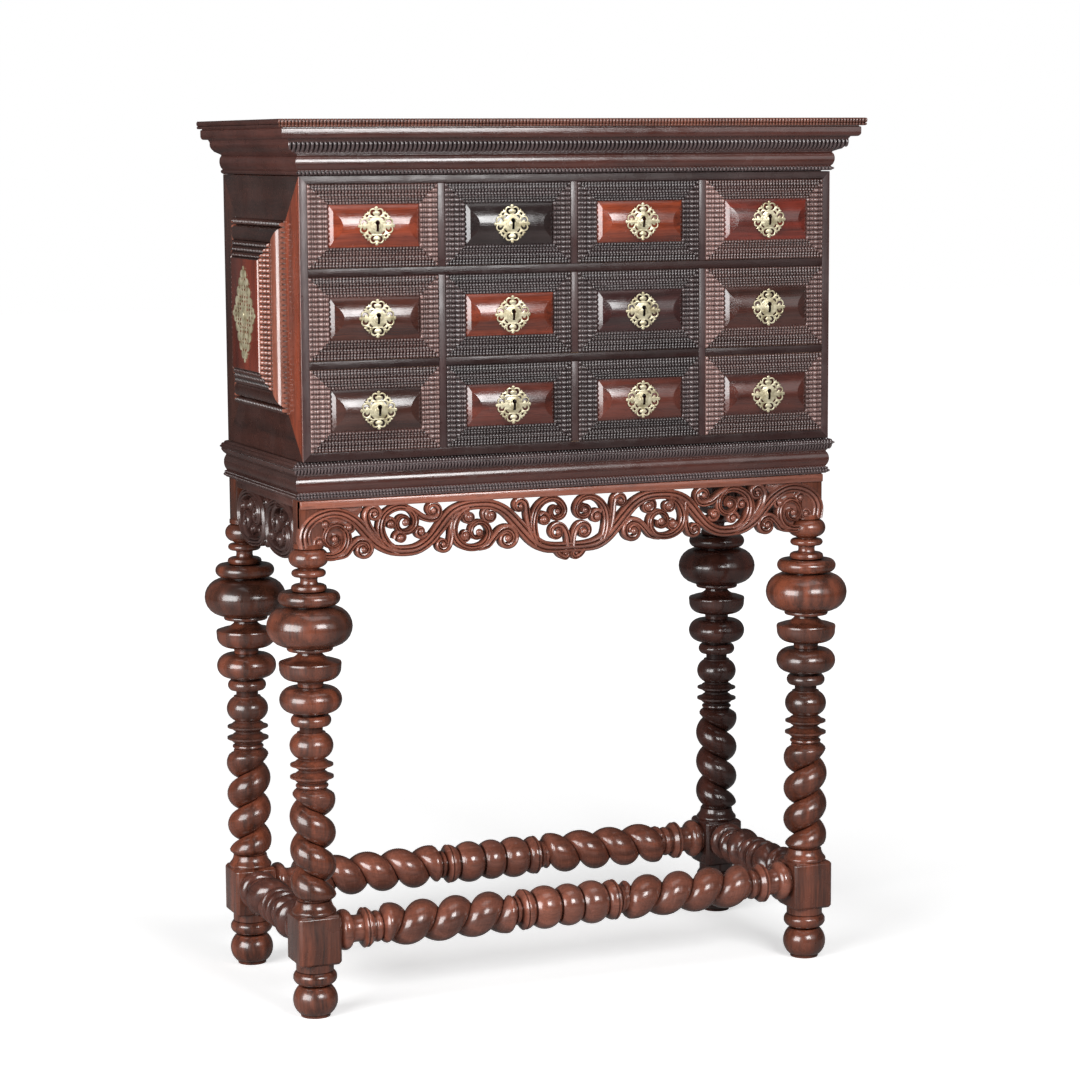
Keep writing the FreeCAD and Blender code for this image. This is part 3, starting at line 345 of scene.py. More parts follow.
def wood(name, light, dark, grain, coat, contrast=0.6, clouds=0.4, bloom=0.03, polish=0.22,
         shine=0.5, shift=(0, 0, 0)):
    """Polished hardwood with its grain along one axis, and grime with painted shade in its hollows.
    """
    made = bpy.data.materials.new(name)
    made.use_nodes = True
    tree = made.node_tree
    shader = tree.nodes["Principled BSDF"]
    coordinates = node(tree, "TexCoord").outputs["Object"]
    lay = {"X": (0, 0, 0), "Y": (0, 0, math.pi / 2), "Z": (0, math.pi / 2, 0)}[grain]
    placed = node(tree, "Mapping", Vector=coordinates, Rotation=lay, Location=shift).outputs[0]
    figure = use(tree, FIGURE, Vector=placed, Light=light, Dark=dark, Contrast=contrast,
                 Clouds=clouds)
    age = use(tree, AGE, Vector=placed, Color=figure.outputs["Color"], Bloom=bloom, Polish=polish)
    # Hollows are mixed to near black, with less coat and specular: grime, and painted shade.
    hollow = node(tree, "Attribute", attribute_name="grime_and_shade").outputs["Fac"]
    out_of_hollow = node(tree, "MapRange", Value=hollow, To_Min=1.0, To_Max=0.0)
    tone = mixed(tree, hollow, age.outputs["Color"], GRIME_AND_SHADE)
    gloss = node(tree, "Math", operation="MULTIPLY", i0=out_of_hollow.outputs[0], i1=coat)
    glint = node(tree, "Math", operation="MULTIPLY", i0=out_of_hollow.outputs[0], i1=shine)
    tree.links.new(tone, shader.inputs["Base Color"])
    tree.links.new(age.outputs["Roughness"], shader.inputs["Roughness"])
    tree.links.new(gloss.outputs[0], shader.inputs["Coat Weight"])
    tree.links.new(glint.outputs[0], shader.inputs["Specular IOR Level"])
    first = node(tree, "Bump", Height=figure.outputs["Height"], Strength=0.12, Distance=0.0006)
    second = node(tree, "Bump", Height=age.outputs["Height"], Strength=0.18, Distance=0.0015,
                  Normal=first.outputs[0])
    tree.links.new(second.outputs[0], shader.inputs["Normal"])
    shader.inputs["Coat Roughness"].default_value = 0.14
    return made


def metal(name, light, dark, rough, metallic):
    """Old metal with a cloudy patina and a little pitting."""
    made = bpy.data.materials.new(name)
    made.use_nodes = True
    tree = made.node_tree
    shader = tree.nodes["Principled BSDF"]
    coordinates = node(tree, "TexCoord").outputs["Object"]
    patina = node(tree, "TexNoise", Vector=coordinates, Scale=60.0, Detail=5.0, Roughness=0.65)
    shade = ramp(tree, patina.outputs["Fac"], [(0.35, dark), (0.62, light)])
    age = use(tree, AGE, Vector=coordinates, Color=shade, Bloom=0.05, Polish=rough)
    tree.links.new(age.outputs["Color"], shader.inputs["Base Color"])
    tree.links.new(age.outputs["Roughness"], shader.inputs["Roughness"])
    shader.inputs["Metallic"].default_value = metallic
    pits = node(tree, "TexNoise", Vector=coordinates, Scale=900.0, Detail=2.0)
    bump = node(tree, "Bump", Height=pits.outputs["Fac"], Strength=0.15, Distance=0.0004)
    tree.links.new(bump.outputs[0], shader.inputs["Normal"])
    return made


LEG_WOOD = wood(
    "Leg wood", (0.24, 0.066, 0.034), (0.03, 0.012, 0.008), "Z",
    contrast=0.8, clouds=0.9, polish=0.24, coat=0.8)
# A darker copy of the leg wood for the rear right leg: painted shade.
SHADED_LEG_WOOD = wood(
    "Shaded leg wood", (0.1, 0.028, 0.018), (0.012, 0.006, 0.005), "Z",
    clouds=0.8, polish=0.22, coat=0.7)
STRETCHER_WOOD = wood(
    "Stretcher wood", (0.32, 0.105, 0.065), (0.055, 0.02, 0.014), "X",
    clouds=0.5, polish=0.18, coat=0.9)
SIDE_STRETCHER_WOOD = wood(
    "Side stretcher wood", (0.17, 0.055, 0.036), (0.03, 0.012, 0.01), "Y", polish=0.2, coat=0.8)
CARVED_WOOD = wood(
    "Carved wood", (0.36, 0.12, 0.075), (0.075, 0.027, 0.02), "X", bloom=0.05, polish=0.2, coat=1.0)
SIDE_CARVED_WOOD = wood(
    "Side carved wood", (0.11, 0.045, 0.035), (0.03, 0.012, 0.01), "Y",
    bloom=0.05, polish=0.28, coat=0.7)
RIPPLE_WOOD = wood(
    "Black ripple wood", (0.075, 0.05, 0.049), (0.014, 0.009, 0.009), "X", polish=0.18, coat=1.0)
# The upright copies run their grain upright. They are also lighter than the level ones: painted
# sheen on the uprights' ribs.
RIPPLE_WOOD_UP_PAINTED_SHEEN = wood(
    "Black upright ripple wood", (0.11, 0.07, 0.068), (0.02, 0.012, 0.012), "Z",
    polish=0.18, coat=1.0)
BROWN_RIPPLE = wood(
    "Brown ripple wood", (0.15, 0.075, 0.065), (0.03, 0.015, 0.013), "X", polish=0.18, coat=1.0)
BROWN_RIPPLE_UP_PAINTED_SHEEN = wood(
    "Brown upright ripple wood", (0.33, 0.19, 0.17), (0.09, 0.045, 0.04), "Z",
    polish=0.18, coat=1.0)
CORNICE_WOOD = wood(
    "Cornice wood", (0.13, 0.09, 0.09), (0.035, 0.022, 0.022), "X", polish=0.17, coat=1.0)
RED_CORNICE_WOOD = wood(
    "Red cornice wood", (0.085, 0.025, 0.018), (0.028, 0.01, 0.008), "X", polish=0.2, coat=0.9)
NOSE_WOOD = wood(
    "Slab nose wood", (0.24, 0.085, 0.055), (0.05, 0.02, 0.015), "X", polish=0.25, coat=0.6)
SIDE_CORNICE_WOOD = wood(
    "Side cornice wood", (0.1, 0.034, 0.026), (0.028, 0.012, 0.01), "Y", polish=0.3, coat=0.4)
SIDE_MOULDING_WOOD = wood(
    "Side moulding wood", (0.07, 0.028, 0.022), (0.02, 0.009, 0.008), "Y", polish=0.25, coat=0.5)
FRAME_WOOD = wood(
    "Front frame wood", (0.04, 0.017, 0.015), (0.014, 0.008, 0.008), "X",
    polish=0.24, coat=0.0, shine=0.35)
FRAME_WOOD_UP = wood(
    "Upright frame wood", (0.07, 0.032, 0.03), (0.026, 0.013, 0.013), "Z",
    bloom=0.06, polish=0.32, coat=0.2)
SIDE_BAND_WOOD = wood(
    "Side band wood", (0.33, 0.065, 0.028), (0.07, 0.018, 0.011), "Z",
    contrast=0.9, clouds=0.4, polish=0.24, coat=0.5)
SIDE_RIPPLE_WOOD = wood(
    "Side ripple wood", (0.4, 0.13, 0.08), (0.09, 0.028, 0.018), "Z", polish=0.24, coat=1.0)
SIDE_DARK_WOOD = wood(
    "Side dark wood", (0.062, 0.02, 0.014), (0.01, 0.005, 0.004), "Y",
    clouds=0.6, bloom=0.04, polish=0.22, coat=0.6)
SIDE_REAR_WOOD = wood(
    "Side rear wood", (0.09, 0.03, 0.02), (0.014, 0.007, 0.006), "Z", clouds=0.6, coat=0.7)
SIDE_FIELD_WOOD = wood(
    "Side field wood", (0.24, 0.042, 0.022), (0.05, 0.012, 0.009), "Z",
    clouds=0.5, polish=0.2, coat=0.6)
PLAIN_WOOD = wood(
    "Plain wood", (0.36, 0.2, 0.1), (0.16, 0.08, 0.04), "Y", bloom=0.1, polish=0.5, coat=0.0)
BACK_WOOD = wood(
    "Back wood", (0.22, 0.12, 0.07), (0.08, 0.045, 0.028), "Z", bloom=0.12, polish=0.5, coat=0.0)
DARK_WOOD = wood(
    "Dark wood", (0.08, 0.034, 0.027), (0.025, 0.011, 0.01), "X", bloom=0.1, polish=0.3, coat=0.3)
BRASS = metal("Pale brass", (0.66, 0.6, 0.42), (0.3, 0.25, 0.14), 0.32, 0.45)
IRON = metal("Lock iron", (0.16, 0.15, 0.15), (0.05, 0.045, 0.045), 0.45, 0.9)


# Turned work

def arc_rows(z0, r0, z1, r1, bulge, steps):
    """Points of an arc from one (z, r) to the next, standing out by bulge."""
    if abs(bulge) < 0.01:
        return [(z1, r1)]
    dz, dr = z1 - z0, r1 - r0
    half = math.hypot(dz, dr) / 2
    out_z, out_r = dr / (2 * half), -dz / (2 * half)
    radius = (half * half + bulge * bulge) / (2 * abs(bulge))
    side = 1 if bulge > 0 else -1
    reach = math.asin(min(1, half / radius))
    if abs(bulge) > half:
        reach = math.pi - reach
    rows = []
    for step in range(1, steps + 1):
        angle = -reach + 2 * reach * step / steps
        along = math.sin(angle) * radius / half
        off = side * (radius * math.cos(angle) - radius + abs(bulge))
        z = (z0 + z1) / 2 + dz / 2 * along + out_z * off
        r = (r0 + r1) / 2 + dr / 2 * along + out_r * off
        rows.append((z, max(r, 0.5)))
    return rows


def profile_rows(profile):
    """Rows (z, r) for a profile of (z, r) or (z, r, bulge); bulge bends the run that ends there."""
    rows = [profile[0][:2]]
    for point in profile[1:]:
        z0, r0 = rows[-1]
        z1, r1 = point[:2]
        bulge = point[2] if len(point) > 2 else 0
        steps = max(4, min(12, round(math.hypot(z1 - z0, r1 - r0) / 4) + round(abs(bulge) / 3)))
        rows += arc_rows(z0, r0, z1, r1, bulge, steps)
    return rows


def turned(name, profile, around=48):
    """Turned work about the Z axis: a disc drawn along the profile, one extrusion for each row."""
    rows = profile_rows(profile)
    put_down()
    z, r = rows[0]
    bpy.ops.mesh.primitive_circle_add(vertices=around, radius=r * MM, fill_type="NGON",
                                      location=(0, 0, 0))
    thing = named(name)
    thing.data.transform(Matrix.Translation((0, 0, z * MM)))
    edit(thing)
    for (z0, r0), (z1, r1) in zip(rows, rows[1:]):
        bpy.ops.mesh.extrude_region_move(TRANSFORM_OT_translate={"value": (0, 0, (z1 - z0) * MM)})
        scale = r1 / r0
        bpy.ops.transform.resize(value=(scale, scale, 1), center_override=(0, 0, z1 * MM))
    return gather_grime_and_shade(face_outwards(thing), 0.6)


TWIST_AROUND, TWIST_STEPS = 44, 18
TWIST_FADE, TWIST_END_SIZE = 10, 0.72


def twisted(name, length, pitch, crest, root, hand, start):
    """A barley twist standing on z = 0: a round section with one sharp valley, turned as it rises.

    Crest and root are its outer and inner radius. Hand 1 gives a left-handed twist and -1 a
    right-handed one. Both ends taper.
    """
    drop = crest - root
    rope = ((pitch / 2) ** 2 + drop ** 2) / (2 * drop)
    centre = crest - rope
    put_down()
    bpy.ops.mesh.primitive_circle_add(vertices=TWIST_AROUND, radius=crest * MM, fill_type="NGON",
                                      location=(0, 0, 0))
    thing = named(name)
    for vertex in thing.data.vertices:
        angle = math.atan2(vertex.co.y, vertex.co.x)
        reach = centre + math.sqrt(max(rope ** 2 - (pitch * angle / (2 * math.pi)) ** 2, 0))
        vertex.co.x, vertex.co.y = reach * math.cos(angle) * MM, reach * math.sin(angle) * MM
    turn(thing, start, "Z")
    steps = max(6, round(length / pitch * TWIST_STEPS))
    rise = length / steps

    def size(z):
        near_end = min(1, min(z, length - z) / TWIST_FADE)
        return TWIST_END_SIZE + (1 - TWIST_END_SIZE) * math.sin(near_end * math.pi / 2)

    edit(thing)
    bpy.ops.transform.resize(value=(size(0), size(0), 1), center_override=(0, 0, 0))
    for step in range(1, steps + 1):
        bpy.ops.mesh.extrude_region_move(TRANSFORM_OT_translate={"value": (0, 0, rise * MM)})
        middle = (0, 0, step * rise * MM)
        bpy.ops.transform.rotate(value=hand * 2 * math.pi * rise / pitch, orient_axis="Z",
                                 center_override=middle)
        scale = size(step * rise) / size((step - 1) * rise)
        bpy.ops.transform.resize(value=(scale, scale, 1), center_override=middle)
    return gather_grime_and_shade(face_outwards(thing), 1.1)


def block(name, low, high, bevel, segments=2):
    """A squared board or block with softened edges."""
    put_down()
    middle = [(a + b) / 2 * MM for a, b in zip(low, high)]
    bpy.ops.mesh.primitive_cube_add(size=1, location=middle)
    thing = named(name)
    thing.scale = [(b - a) * MM for a, b in zip(low, high)]
    settle(thing)
    return soften(thing, bevel, segments)


# Turnings: (z, r) or (z, r, bulge) from the top down.
LEG_TURNING = (
    (757, 23), (756, 24), (749.5, 24), (748.5, 20), (719.5, 20, 11.5), (717, 15.5), (716, 15.5),
    (715, 24), (705, 24, 3.2), (704, 15), (693, 15, -1.5), (692, 24), (681, 24, 4.3), (680.5, 43),
    (661, 43, 6), (660, 29), (657.5, 28.8), (657, 38), (595, 38, 29.6), (594.6, 35), (588, 35, 1.5),
    (586, 19.5), (582, 20), (573, 40, -2), (570, 48.7), (565, 49.2, 0.4), (561, 48.8),
    (541.5, 27, 7), (540, 21), (532, 20), (530, 19.6), (529, 36), (491, 36, 13.4), (490, 20),
    (486, 20), (485, 28), (469, 28, 4), (468, 18.3), (459, 18.3), (458, 22.6), (456.5, 22.6),
    (456, 23), (417.5, 23, 11.6), (416, 21), (414.5, 21), (412.5, 25), (407.5, 34, -1), (405, 34),
    (400, 24, -1), (398.5, 21), (395.5, 21), (394, 24), (388.5, 34.5, -1), (385.5, 34.5),
    (379.5, 25, -1), (378, 21.5), (376, 21.5), (375.5, 24), (370, 24, 2), (369, 22), (364, 24, 1),
)
LEG_FLARE = (
    (194, 20), (193, 23), (190, 25), (188.5, 25.5, 1), (187, 28), (173, 34.5, -1.5),
    (167.5, 34.5, 1),
)
LEG_FOOT = (
    (91, 30), (75, 30), (74.5, 29), (66.5, 34.8, 0.8), (61, 34.8), (53.5, 29, 0.8), (52, 22),
    (50, 20), (49, 26), (6, 27, 9.3), (5, 24), (0, 23.5),
)
# Length, pitch, crest and root of the twist.
LEG_TWIST = (180, 53, 36.5, 16)
LEG_TWIST_LOW = 188
LEG_POST_HALF, LEG_POST_LOW, LEG_POST_TOP = 18.5, 756, 886.5
LEG_BLOCK_HALF, LEG_BLOCK_LOW, LEG_BLOCK_TOP, LEG_BLOCK_CHAMFER = 35, 87, 168, 4.5


def make_leg(name, hand, start):
    """One leg standing on z = 0 about the Z axis."""
    top = turned(f"{name}_top", LEG_TURNING, 56)
    rope = move(twisted(f"{name}_twist", *LEG_TWIST, hand, start), z=LEG_TWIST_LOW)
    flare = turned(f"{name}_flare", LEG_FLARE)
    foot = turned(f"{name}_foot", LEG_FOOT)
    half = LEG_POST_HALF
    post = block(f"{name}_post", (-half, -half, LEG_POST_LOW), (half, half, LEG_POST_TOP), 0.8)
    half = LEG_BLOCK_HALF
    die = block(f"{name}_block", (-half, -half, LEG_BLOCK_LOW), (half, half, LEG_BLOCK_TOP),
                LEG_BLOCK_CHAMFER, 1)
    soften(die, 0.9, 2, 25)
    return join(name, [top, rope, flare, foot, post, die])


def make_legs():
    """Four legs; the two on each diagonal are twisted the same way."""
    lean_left = make_leg("leg_pattern_left", 1, 0)
    lean_right = make_leg("leg_pattern_right", -1, 180)
    for name, x, y, pattern in (
        ("leg_front_left", -LEG_X, LEG_FRONT_Y, lean_left),
        ("leg_front_right", LEG_X, LEG_FRONT_Y, lean_right),
        ("leg_rear_left", -LEG_X, LEG_BACK_Y, lean_right),
        ("leg_rear_right", LEG_X, LEG_BACK_Y, lean_left),
    ):
        leg = move(copy(pattern, f"{name}_turned"), x, y)
        # The rear right leg takes the darker copy: painted shade.
        material = SHADED_LEG_WOOD if name == "leg_rear_right" else LEG_WOOD
        finish(leg, "cabinet", material, [name])
    for pattern in (lean_left, lean_right):
        bpy.data.objects.remove(pattern)


STRETCHER_MIDDLE = (
    (102, 21), (97, 21), (96, 20), (90, 20, 4), (89, 19), (87, 19), (86.5, 27), (82, 33.5, 0.5),
    (79, 31.5), (76.5, 33, 0.5), (66, 27, 1), (65, 23), (63, 23), (62.5, 27), (21.5, 27, 8.5),
    (20.5, 22), (18, 22), (17.5, 28), (-17.5, 28, 6.5), (-18, 22), (-20.5, 22), (-21.5, 27),
    (-62.5, 27, 8.5), (-63, 23), (-65, 23), (-66, 27), (-76.5, 33, 1), (-79, 31.5, 0.5),
    (-82, 33.5), (-86.5, 27, 0.5), (-87, 19), (-89, 19), (-90, 20), (-96, 20, 4), (-97, 21),
    (-102, 21),
)
STRETCHER_END = (
    (402.7, 24), (399, 24), (398, 26), (378, 26, 7), (376, 23), (360, 23, -1.5), (359, 27),
    (355.5, 32.5, 0.5), (352, 30.5), (349, 32, 0.5), (343, 27), (342, 22), (339, 22), (338.5, 22.5),
    (328, 22.5, 3), (327, 20), (322, 20),
)
SHORT_END = (
    (137, 24), (134, 24), (133, 27), (113, 27, 6.5), (112, 22), (107, 22), (106, 24), (96, 24, 3),
    (95, 20), (90, 20),
)
SHORT_MIDDLE = (
    (38, 20), (34, 20), (33, 24), (24, 24, 3), (23, 20), (20, 20), (19, 28), (8, 28, 4), (7, 24),
    (2, 24), (1, 29), (-1, 29), (-2, 24), (-7, 24), (-8, 28), (-19, 28, 4), (-20, 20), (-23, 20),
    (-24, 24), (-33, 24, 3), (-34, 20), (-38, 20),
)
# Crest and root of the twists.
STRETCHER_TWIST = (35.5, 19)


def make_stretcher(name, middle, end, twist, pitch, hands, axis, place, material):
    """A stretcher about its middle, drawn upright and then turned about its axis to lie level."""
    start, stop = twist
    pieces = [turned(f"{name}_middle", middle)]
    for side, hand in zip((1, -1), hands):
        top = turned(f"{name}_end", end)
        rope = twisted(f"{name}_rope", stop - start, pitch, *STRETCHER_TWIST, hand * side, 90)
        move(rope, z=start)
        if side < 0:
            turn(top, 180, "X")
            turn(rope, 180, "X")
        pieces += [top, rope]
    thing = join(name, pieces)
    turn(thing, 90, axis)
    move(thing, *place)
    return finish(thing, "cabinet", material, [name.removesuffix("_turned")])


def make_stretchers():
    """Long stretchers at the front and rear, short ones on the left and right."""
    long = {"middle": STRETCHER_MIDDLE, "end": STRETCHER_END, "twist": (99, 326), "pitch": 57}
    short = {"middle": SHORT_MIDDLE, "end": SHORT_END, "twist": (35, 95), "pitch": 54}
    for word, sizes, hands, axis, x, y, material in (
        ("front", long, (1, -1), "Y", 0, LEG_FRONT_Y, STRETCHER_WOOD),
        ("rear", long, (-1, 1), "Y", 0, LEG_BACK_Y, STRETCHER_WOOD),
        ("left", short, (1, -1), "X", -LEG_X, STAND_MIDDLE_Y, SIDE_STRETCHER_WOOD),
        ("right", short, (-1, 1), "X", LEG_X, STAND_MIDDLE_Y, SIDE_STRETCHER_WOOD),
    ):
        make_stretcher(f"stretcher_{word}_turned", **sizes, hands=hands, axis=axis,
                       place=(x, y, STRETCHER_Z), material=material)


# Moulding runs

# One rib of a ripple: place along it and height, round on top with a narrow valley in the middle.
RIB = ((0, 1), (0.18, 0.82), (0.32, 0.2), (0.42, -1), (0.58, -1), (0.68, 0.2), (0.82, 0.82), (1, 1))


def moulding(name, section, length, pitch):
    """A closed section of (out, up, wave) points drawn along X, about the middle, out towards -Y.

    Wave is how far that point swings with the ribs. One rib is modelled and repeated; without a
    pitch there are none. The valleys and the points that lie lower than the ones beside them are
    marked for grime and painted shade.
    """
    count = len(section)
    half_turn = sum(section[i - 1][0] * section[i][1] - section[i][0] * section[i - 1][1]
                    for i in range(count))
    sign = 1 if half_turn > 0 else -1
    normals = []
    for i in range(count):
        (a, b), (c, d) = section[i - 1][:2], section[(i + 1) % count][:2]
        size = math.hypot(c - a, d - b) or 1
        normals.append((sign * (d - b) / size, -sign * (c - a) / size))
    unit = pitch or length
    rib = RIB if pitch else ((0, 0), (1, 0))
    steps = len(rib) - 1
    vertices, grime_and_shade = [], []
    for share, swing in rib:
        for i, ((out, up, wave), (n_out, n_up)) in enumerate(zip(section, normals)):
            push = wave * swing
            vertices.append((unit * share * MM, -(out + n_out * push) * MM,
                             (up + n_up * push) * MM))
            # Valleys and sunken points get grime and painted shade.
            valley = 0.8 if swing == -1 and wave > 0.25 else 0
            sunk = min(section[i - 1][0], section[(i + 1) % count][0]) - out
            grime_and_shade.append(max(valley, min(0.9, 1.2 * sunk) if out > 0 else 0))
    faces = []
    for step in range(steps):
        for i in range(count):
            a, b = step * count + i, step * count + (i + 1) % count
            faces.append((a, b, b + count, a + count))
    mesh = bpy.data.meshes.new(name)
    mesh.from_pydata(vertices, [], faces)
    mesh.attributes.new("grime_and_shade", "FLOAT", "POINT").data.foreach_set("value", grime_and_shade)
    thing = bpy.data.objects.new(name, mesh)
    bpy.context.collection.objects.link(thing)
    repeats = math.ceil(length / unit - 0.001)
    if pitch:
        repeats += repeats % 2
        apply_modifier(thing, "ARRAY", count=repeats, use_relative_offset=False,
                       use_constant_offset=True, constant_offset_displace=(unit * MM, 0, 0),
                       use_merge_vertices=True, merge_threshold=0.000002)
    move(thing, x=-repeats * unit / 2)
    shape = bmesh.new()
    shape.from_mesh(thing.data)
    bmesh.ops.edgeloop_fill(shape, edges=[edge for edge in shape.edges if edge.is_boundary])
    shape.to_mesh(thing.data)
    shape.free()
    return face_outwards(thing, FINE_WELD)


def around_case(name, section, top_z, front_y, pitch=None, side_waves=True):
    """Front, left and right lengths of a moulding round the case, mitred at the front corners.

    The section's up is counted from top_z.
    """
    reach = max(point[0] for point in section) + 4
    front = moulding(f"{name}_front", section, 2 * (HALF_WIDTH + reach), pitch)
    move(front, y=front_y, z=top_z)
    slice_off(front, (-HALF_WIDTH, front_y, 0), (1, -1, 0))
    slice_off(front, (HALF_WIDTH, front_y, 0), (-1, -1, 0))
    face_outwards(front, FINE_WELD)
    depth = BACK_Y - front_y + reach
    plain = section if side_waves else [(out, up, 0) for out, up, _ in section]
    side = moulding(f"{name}_side", plain, 2 * depth, pitch if side_waves else None)
    turn(side, -90, "Z")
    move(side, x=-HALF_WIDTH, y=BACK_Y - depth / 2, z=top_z)
    slice_off(side, (-HALF_WIDTH, front_y, 0), (-1, 1, 0))
    slice_off(side, (0, BACK_Y, 0), (0, -1, 0))
    face_outwards(side, FINE_WELD)
    twin = mirror_x(copy(side, f"{name}_right"))
    return {"front": front, "left": side, "right": face_outwards(twin, FINE_WELD)}


# Sections: (out, up, wave), closed at the back.
SLAB_NOSE = (
    (30, 0, 0), (42.2, 0, 0), (43, -1, 0.9), (43.6, -2.2, 1.2), (43.6, -4.2, 1.2), (43.4, -6, 1.1),
    (42.6, -7.4, 0.6), (41.6, -8, 0.1), (42.9, -8.9, 0.7), (43.4, -10.2, 0.9), (42.8, -11.6, 0.5),
    (41.6, -12.4, 0.1), (30, -12.4, 0),
)
CORNICE_BAND = (
    (0, -12.4, 0), (34.6, -12.4, 0), (34.6, -13.6, 0), (36.6, -14.2, 0), (37.3, -15, 0),
    (37.4, -20, 0), (37.3, -25, 0), (36.6, -26.8, 0), (35.2, -28.6, 0), (33.4, -29.6, 0),
    (24.6, -29.8, 0), (23.6, -31.4, 0), (22.4, -33.2, 0), (21.6, -35, 0), (0, -35, 0),
)
CORNICE_OGEE = (
    (0, -33, 0), (21.2, -33, 0), (21.8, -34.4, 1.2), (22, -36.8, 2.2), (21.8, -39.4, 2.4),
    (21, -42, 2.4), (19.4, -44.4, 2.2), (17, -46.8, 1.6), (14.6, -49, 0.6), (9, -51.4, 0),
    (4, -53.6, 0), (3, -54.2, 0), (0, -54.2, 0),
)
CORNICE_TORUS = (
    (-2, -53, 0), (3, -53, 0), (3, -54.6, 0), (2.4, -55.4, 0), (3.8, -56.8, 0), (5, -59, 0),
    (5.8, -62, 0), (6, -65, 0), (5.8, -68, 0), (5, -71.4, 0), (3.6, -74.6, 0), (1.6, -76.8, 0),
    (1.2, -77.6, 0), (1.2, -79, 0), (-2, -79, 0),
)
CORNICE_BEADS = (
    (-2, -78.4, 0), (2.2, -78.4, 0.4), (3.6, -79.4, 1.3), (4, -81, 1.6), (3.6, -82.6, 1.3),
    (2.4, -83.8, 0.6), (1, -84.6, 0), (-2, -84.6, 0),
)
STAND_NOSE = (
    (0, 0, 0), (2.4, 0, 0), (4.6, -0.5, 0.6), (6.2, -1.4, 1.0), (7.6, -2.6, 0.6), (8, -3.4, 0.1),
    (9.6, -3.6, 0.6), (11.4, -4.6, 1.0), (12.6, -6.2, 0.6), (13, -6.9, 0.1), (14.2, -7.6, 0.3),
    (15, -8.8, 0.4), (15, -10, 0), (13.8, -10.8, 0), (12.2, -12, 0), (12.6, -12.8, 0.8),
    (11.2, -15.2, 1.5), (9.4, -17.8, 1.5), (7.6, -20, 1.0), (6, -21.4, 0.2), (5, -22.4, 0),
    (0, -22.4, 0),
)
STAND_TORUS = (
    (0, -21.6, 0), (4.4, -21.6, 0), (4.8, -23, 0), (4.5, -24, 0), (5.8, -25.8, 0), (7.2, -28.4, 0),
    (8.2, -31.6, 0), (8.5, -35, 0), (8.4, -38.6, 0), (7.6, -42.2, 0), (6.2, -45.6, 0),
    (4.6, -48, 0), (4.2, -48.6, 0), (4.2, -50.2, 0), (0, -50.2, 0),
)
STAND_BEADS = (
    (0, -49.8, 0), (4.6, -49.8, 0.2), (6.4, -50.6, 0.8), (7.2, -51.8, 1.0), (6.6, -53, 0.6),
    (6, -53.6, 0.2), (7.8, -54, 0.6), (8.8, -55.2, 1.0), (8.6, -56.8, 1.0), (7.4, -58.2, 0.6),
    (5.4, -59.2, 0.2), (4.6, -60.6, 0), (0, -60.6, 0),
)


def make_cornice():
    """The top slab, the cornice under it and the frieze box behind the cornice."""
    top = SLAB_TOP
    nose = around_case("slab_nose", SLAB_NOSE, top, FRONT_Y, 5.6, False)
    slab = block("slab_board", (-486, FRONT_Y - 31, top - 12.4), (486, BACK_Y, top), 0.4, 1)
    thing = join("top_slab_front", [nose["front"], slab])
    finish(thing, "cabinet", NOSE_WOOD, ["top_slab"])
    thing = join("top_slab_sides", [nose["left"], nose["right"]])
    finish(thing, "cabinet", SIDE_CORNICE_WOOD, ["top_slab"])
    parts = [
        around_case("cornice_band", CORNICE_BAND, top, FRONT_Y),
        around_case("cornice_ogee", CORNICE_OGEE, top, FRONT_Y, 7.2, False),
        around_case("cornice_torus", CORNICE_TORUS, top, FRONT_Y),
        around_case("cornice_beads", CORNICE_BEADS, top, FRONT_Y, 6.4, False),
    ]
    thing = join("cornice_front_moulding", [run["front"] for run in parts[::2]])
    finish(thing, "cabinet", RED_CORNICE_WOOD, ["cornice"])
    thing = join("cornice_front_ripples", [run["front"] for run in parts[1::2]])
    finish(thing, "cabinet", CORNICE_WOOD, ["cornice"])
    sides = [run[side] for run in parts for side in ("left", "right")]
    thing = join("cornice_side_moulding", sides)
    finish(thing, "cabinet", SIDE_CORNICE_WOOD, ["cornice"])
    low_z, high_z = CASE_TOP + 0.2, top - 12.6
    frieze_y, rear_y = (FRONT_Y + 10, BACK_Y - 12), (BACK_Y - 18, BACK_Y)
    boards = [
        block("cornice_board", (-half, low_y, low_z), (half, high_y, high_z), 0.6, 1)
        for half, (low_y, high_y) in ((HALF_WIDTH - 10, frieze_y), (HALF_WIDTH, rear_y))
    ]
    thing = join("cornice_frieze_box", boards)
    finish(thing, "cabinet", DARK_WOOD, ["cornice"])


def make_stand_moulding():
    """The moulding round the top of the stand: nose, torus and beads."""
    top, face = STAND_TOP, STAND_FRONT_Y
    parts = [
        around_case("stand_nose", STAND_NOSE, top, face, 5.4),
        around_case("stand_torus", STAND_TORUS, top, face),
        around_case("stand_beads", STAND_BEADS, top, face, 5.4),
    ]
    finish(parts[1]["front"], "cabinet", RED_CORNICE_WOOD, ["stand_moulding"])
    thing = join("stand_front_ripples", [run["front"] for run in parts[::2]])
    finish(thing, "cabinet", CORNICE_WOOD, ["stand_moulding"])
    thing = join("stand_side_moulding", [run[side] for run in parts for side in ("left", "right")])
    finish(thing, "cabinet", SIDE_MOULDING_WOOD, ["stand_moulding"])


# Smooth lines and flat plates

def between(near, t):
    """The point at share t of the way from the second to the third of four points."""
    return tuple(
        0.5 * (2 * b + (c - a) * t + (2 * a - 5 * b + 4 * c - d) * t * t
               + (3 * b - a - 3 * c + d) * t ** 3)
        for a, b, c, d in zip(*near))


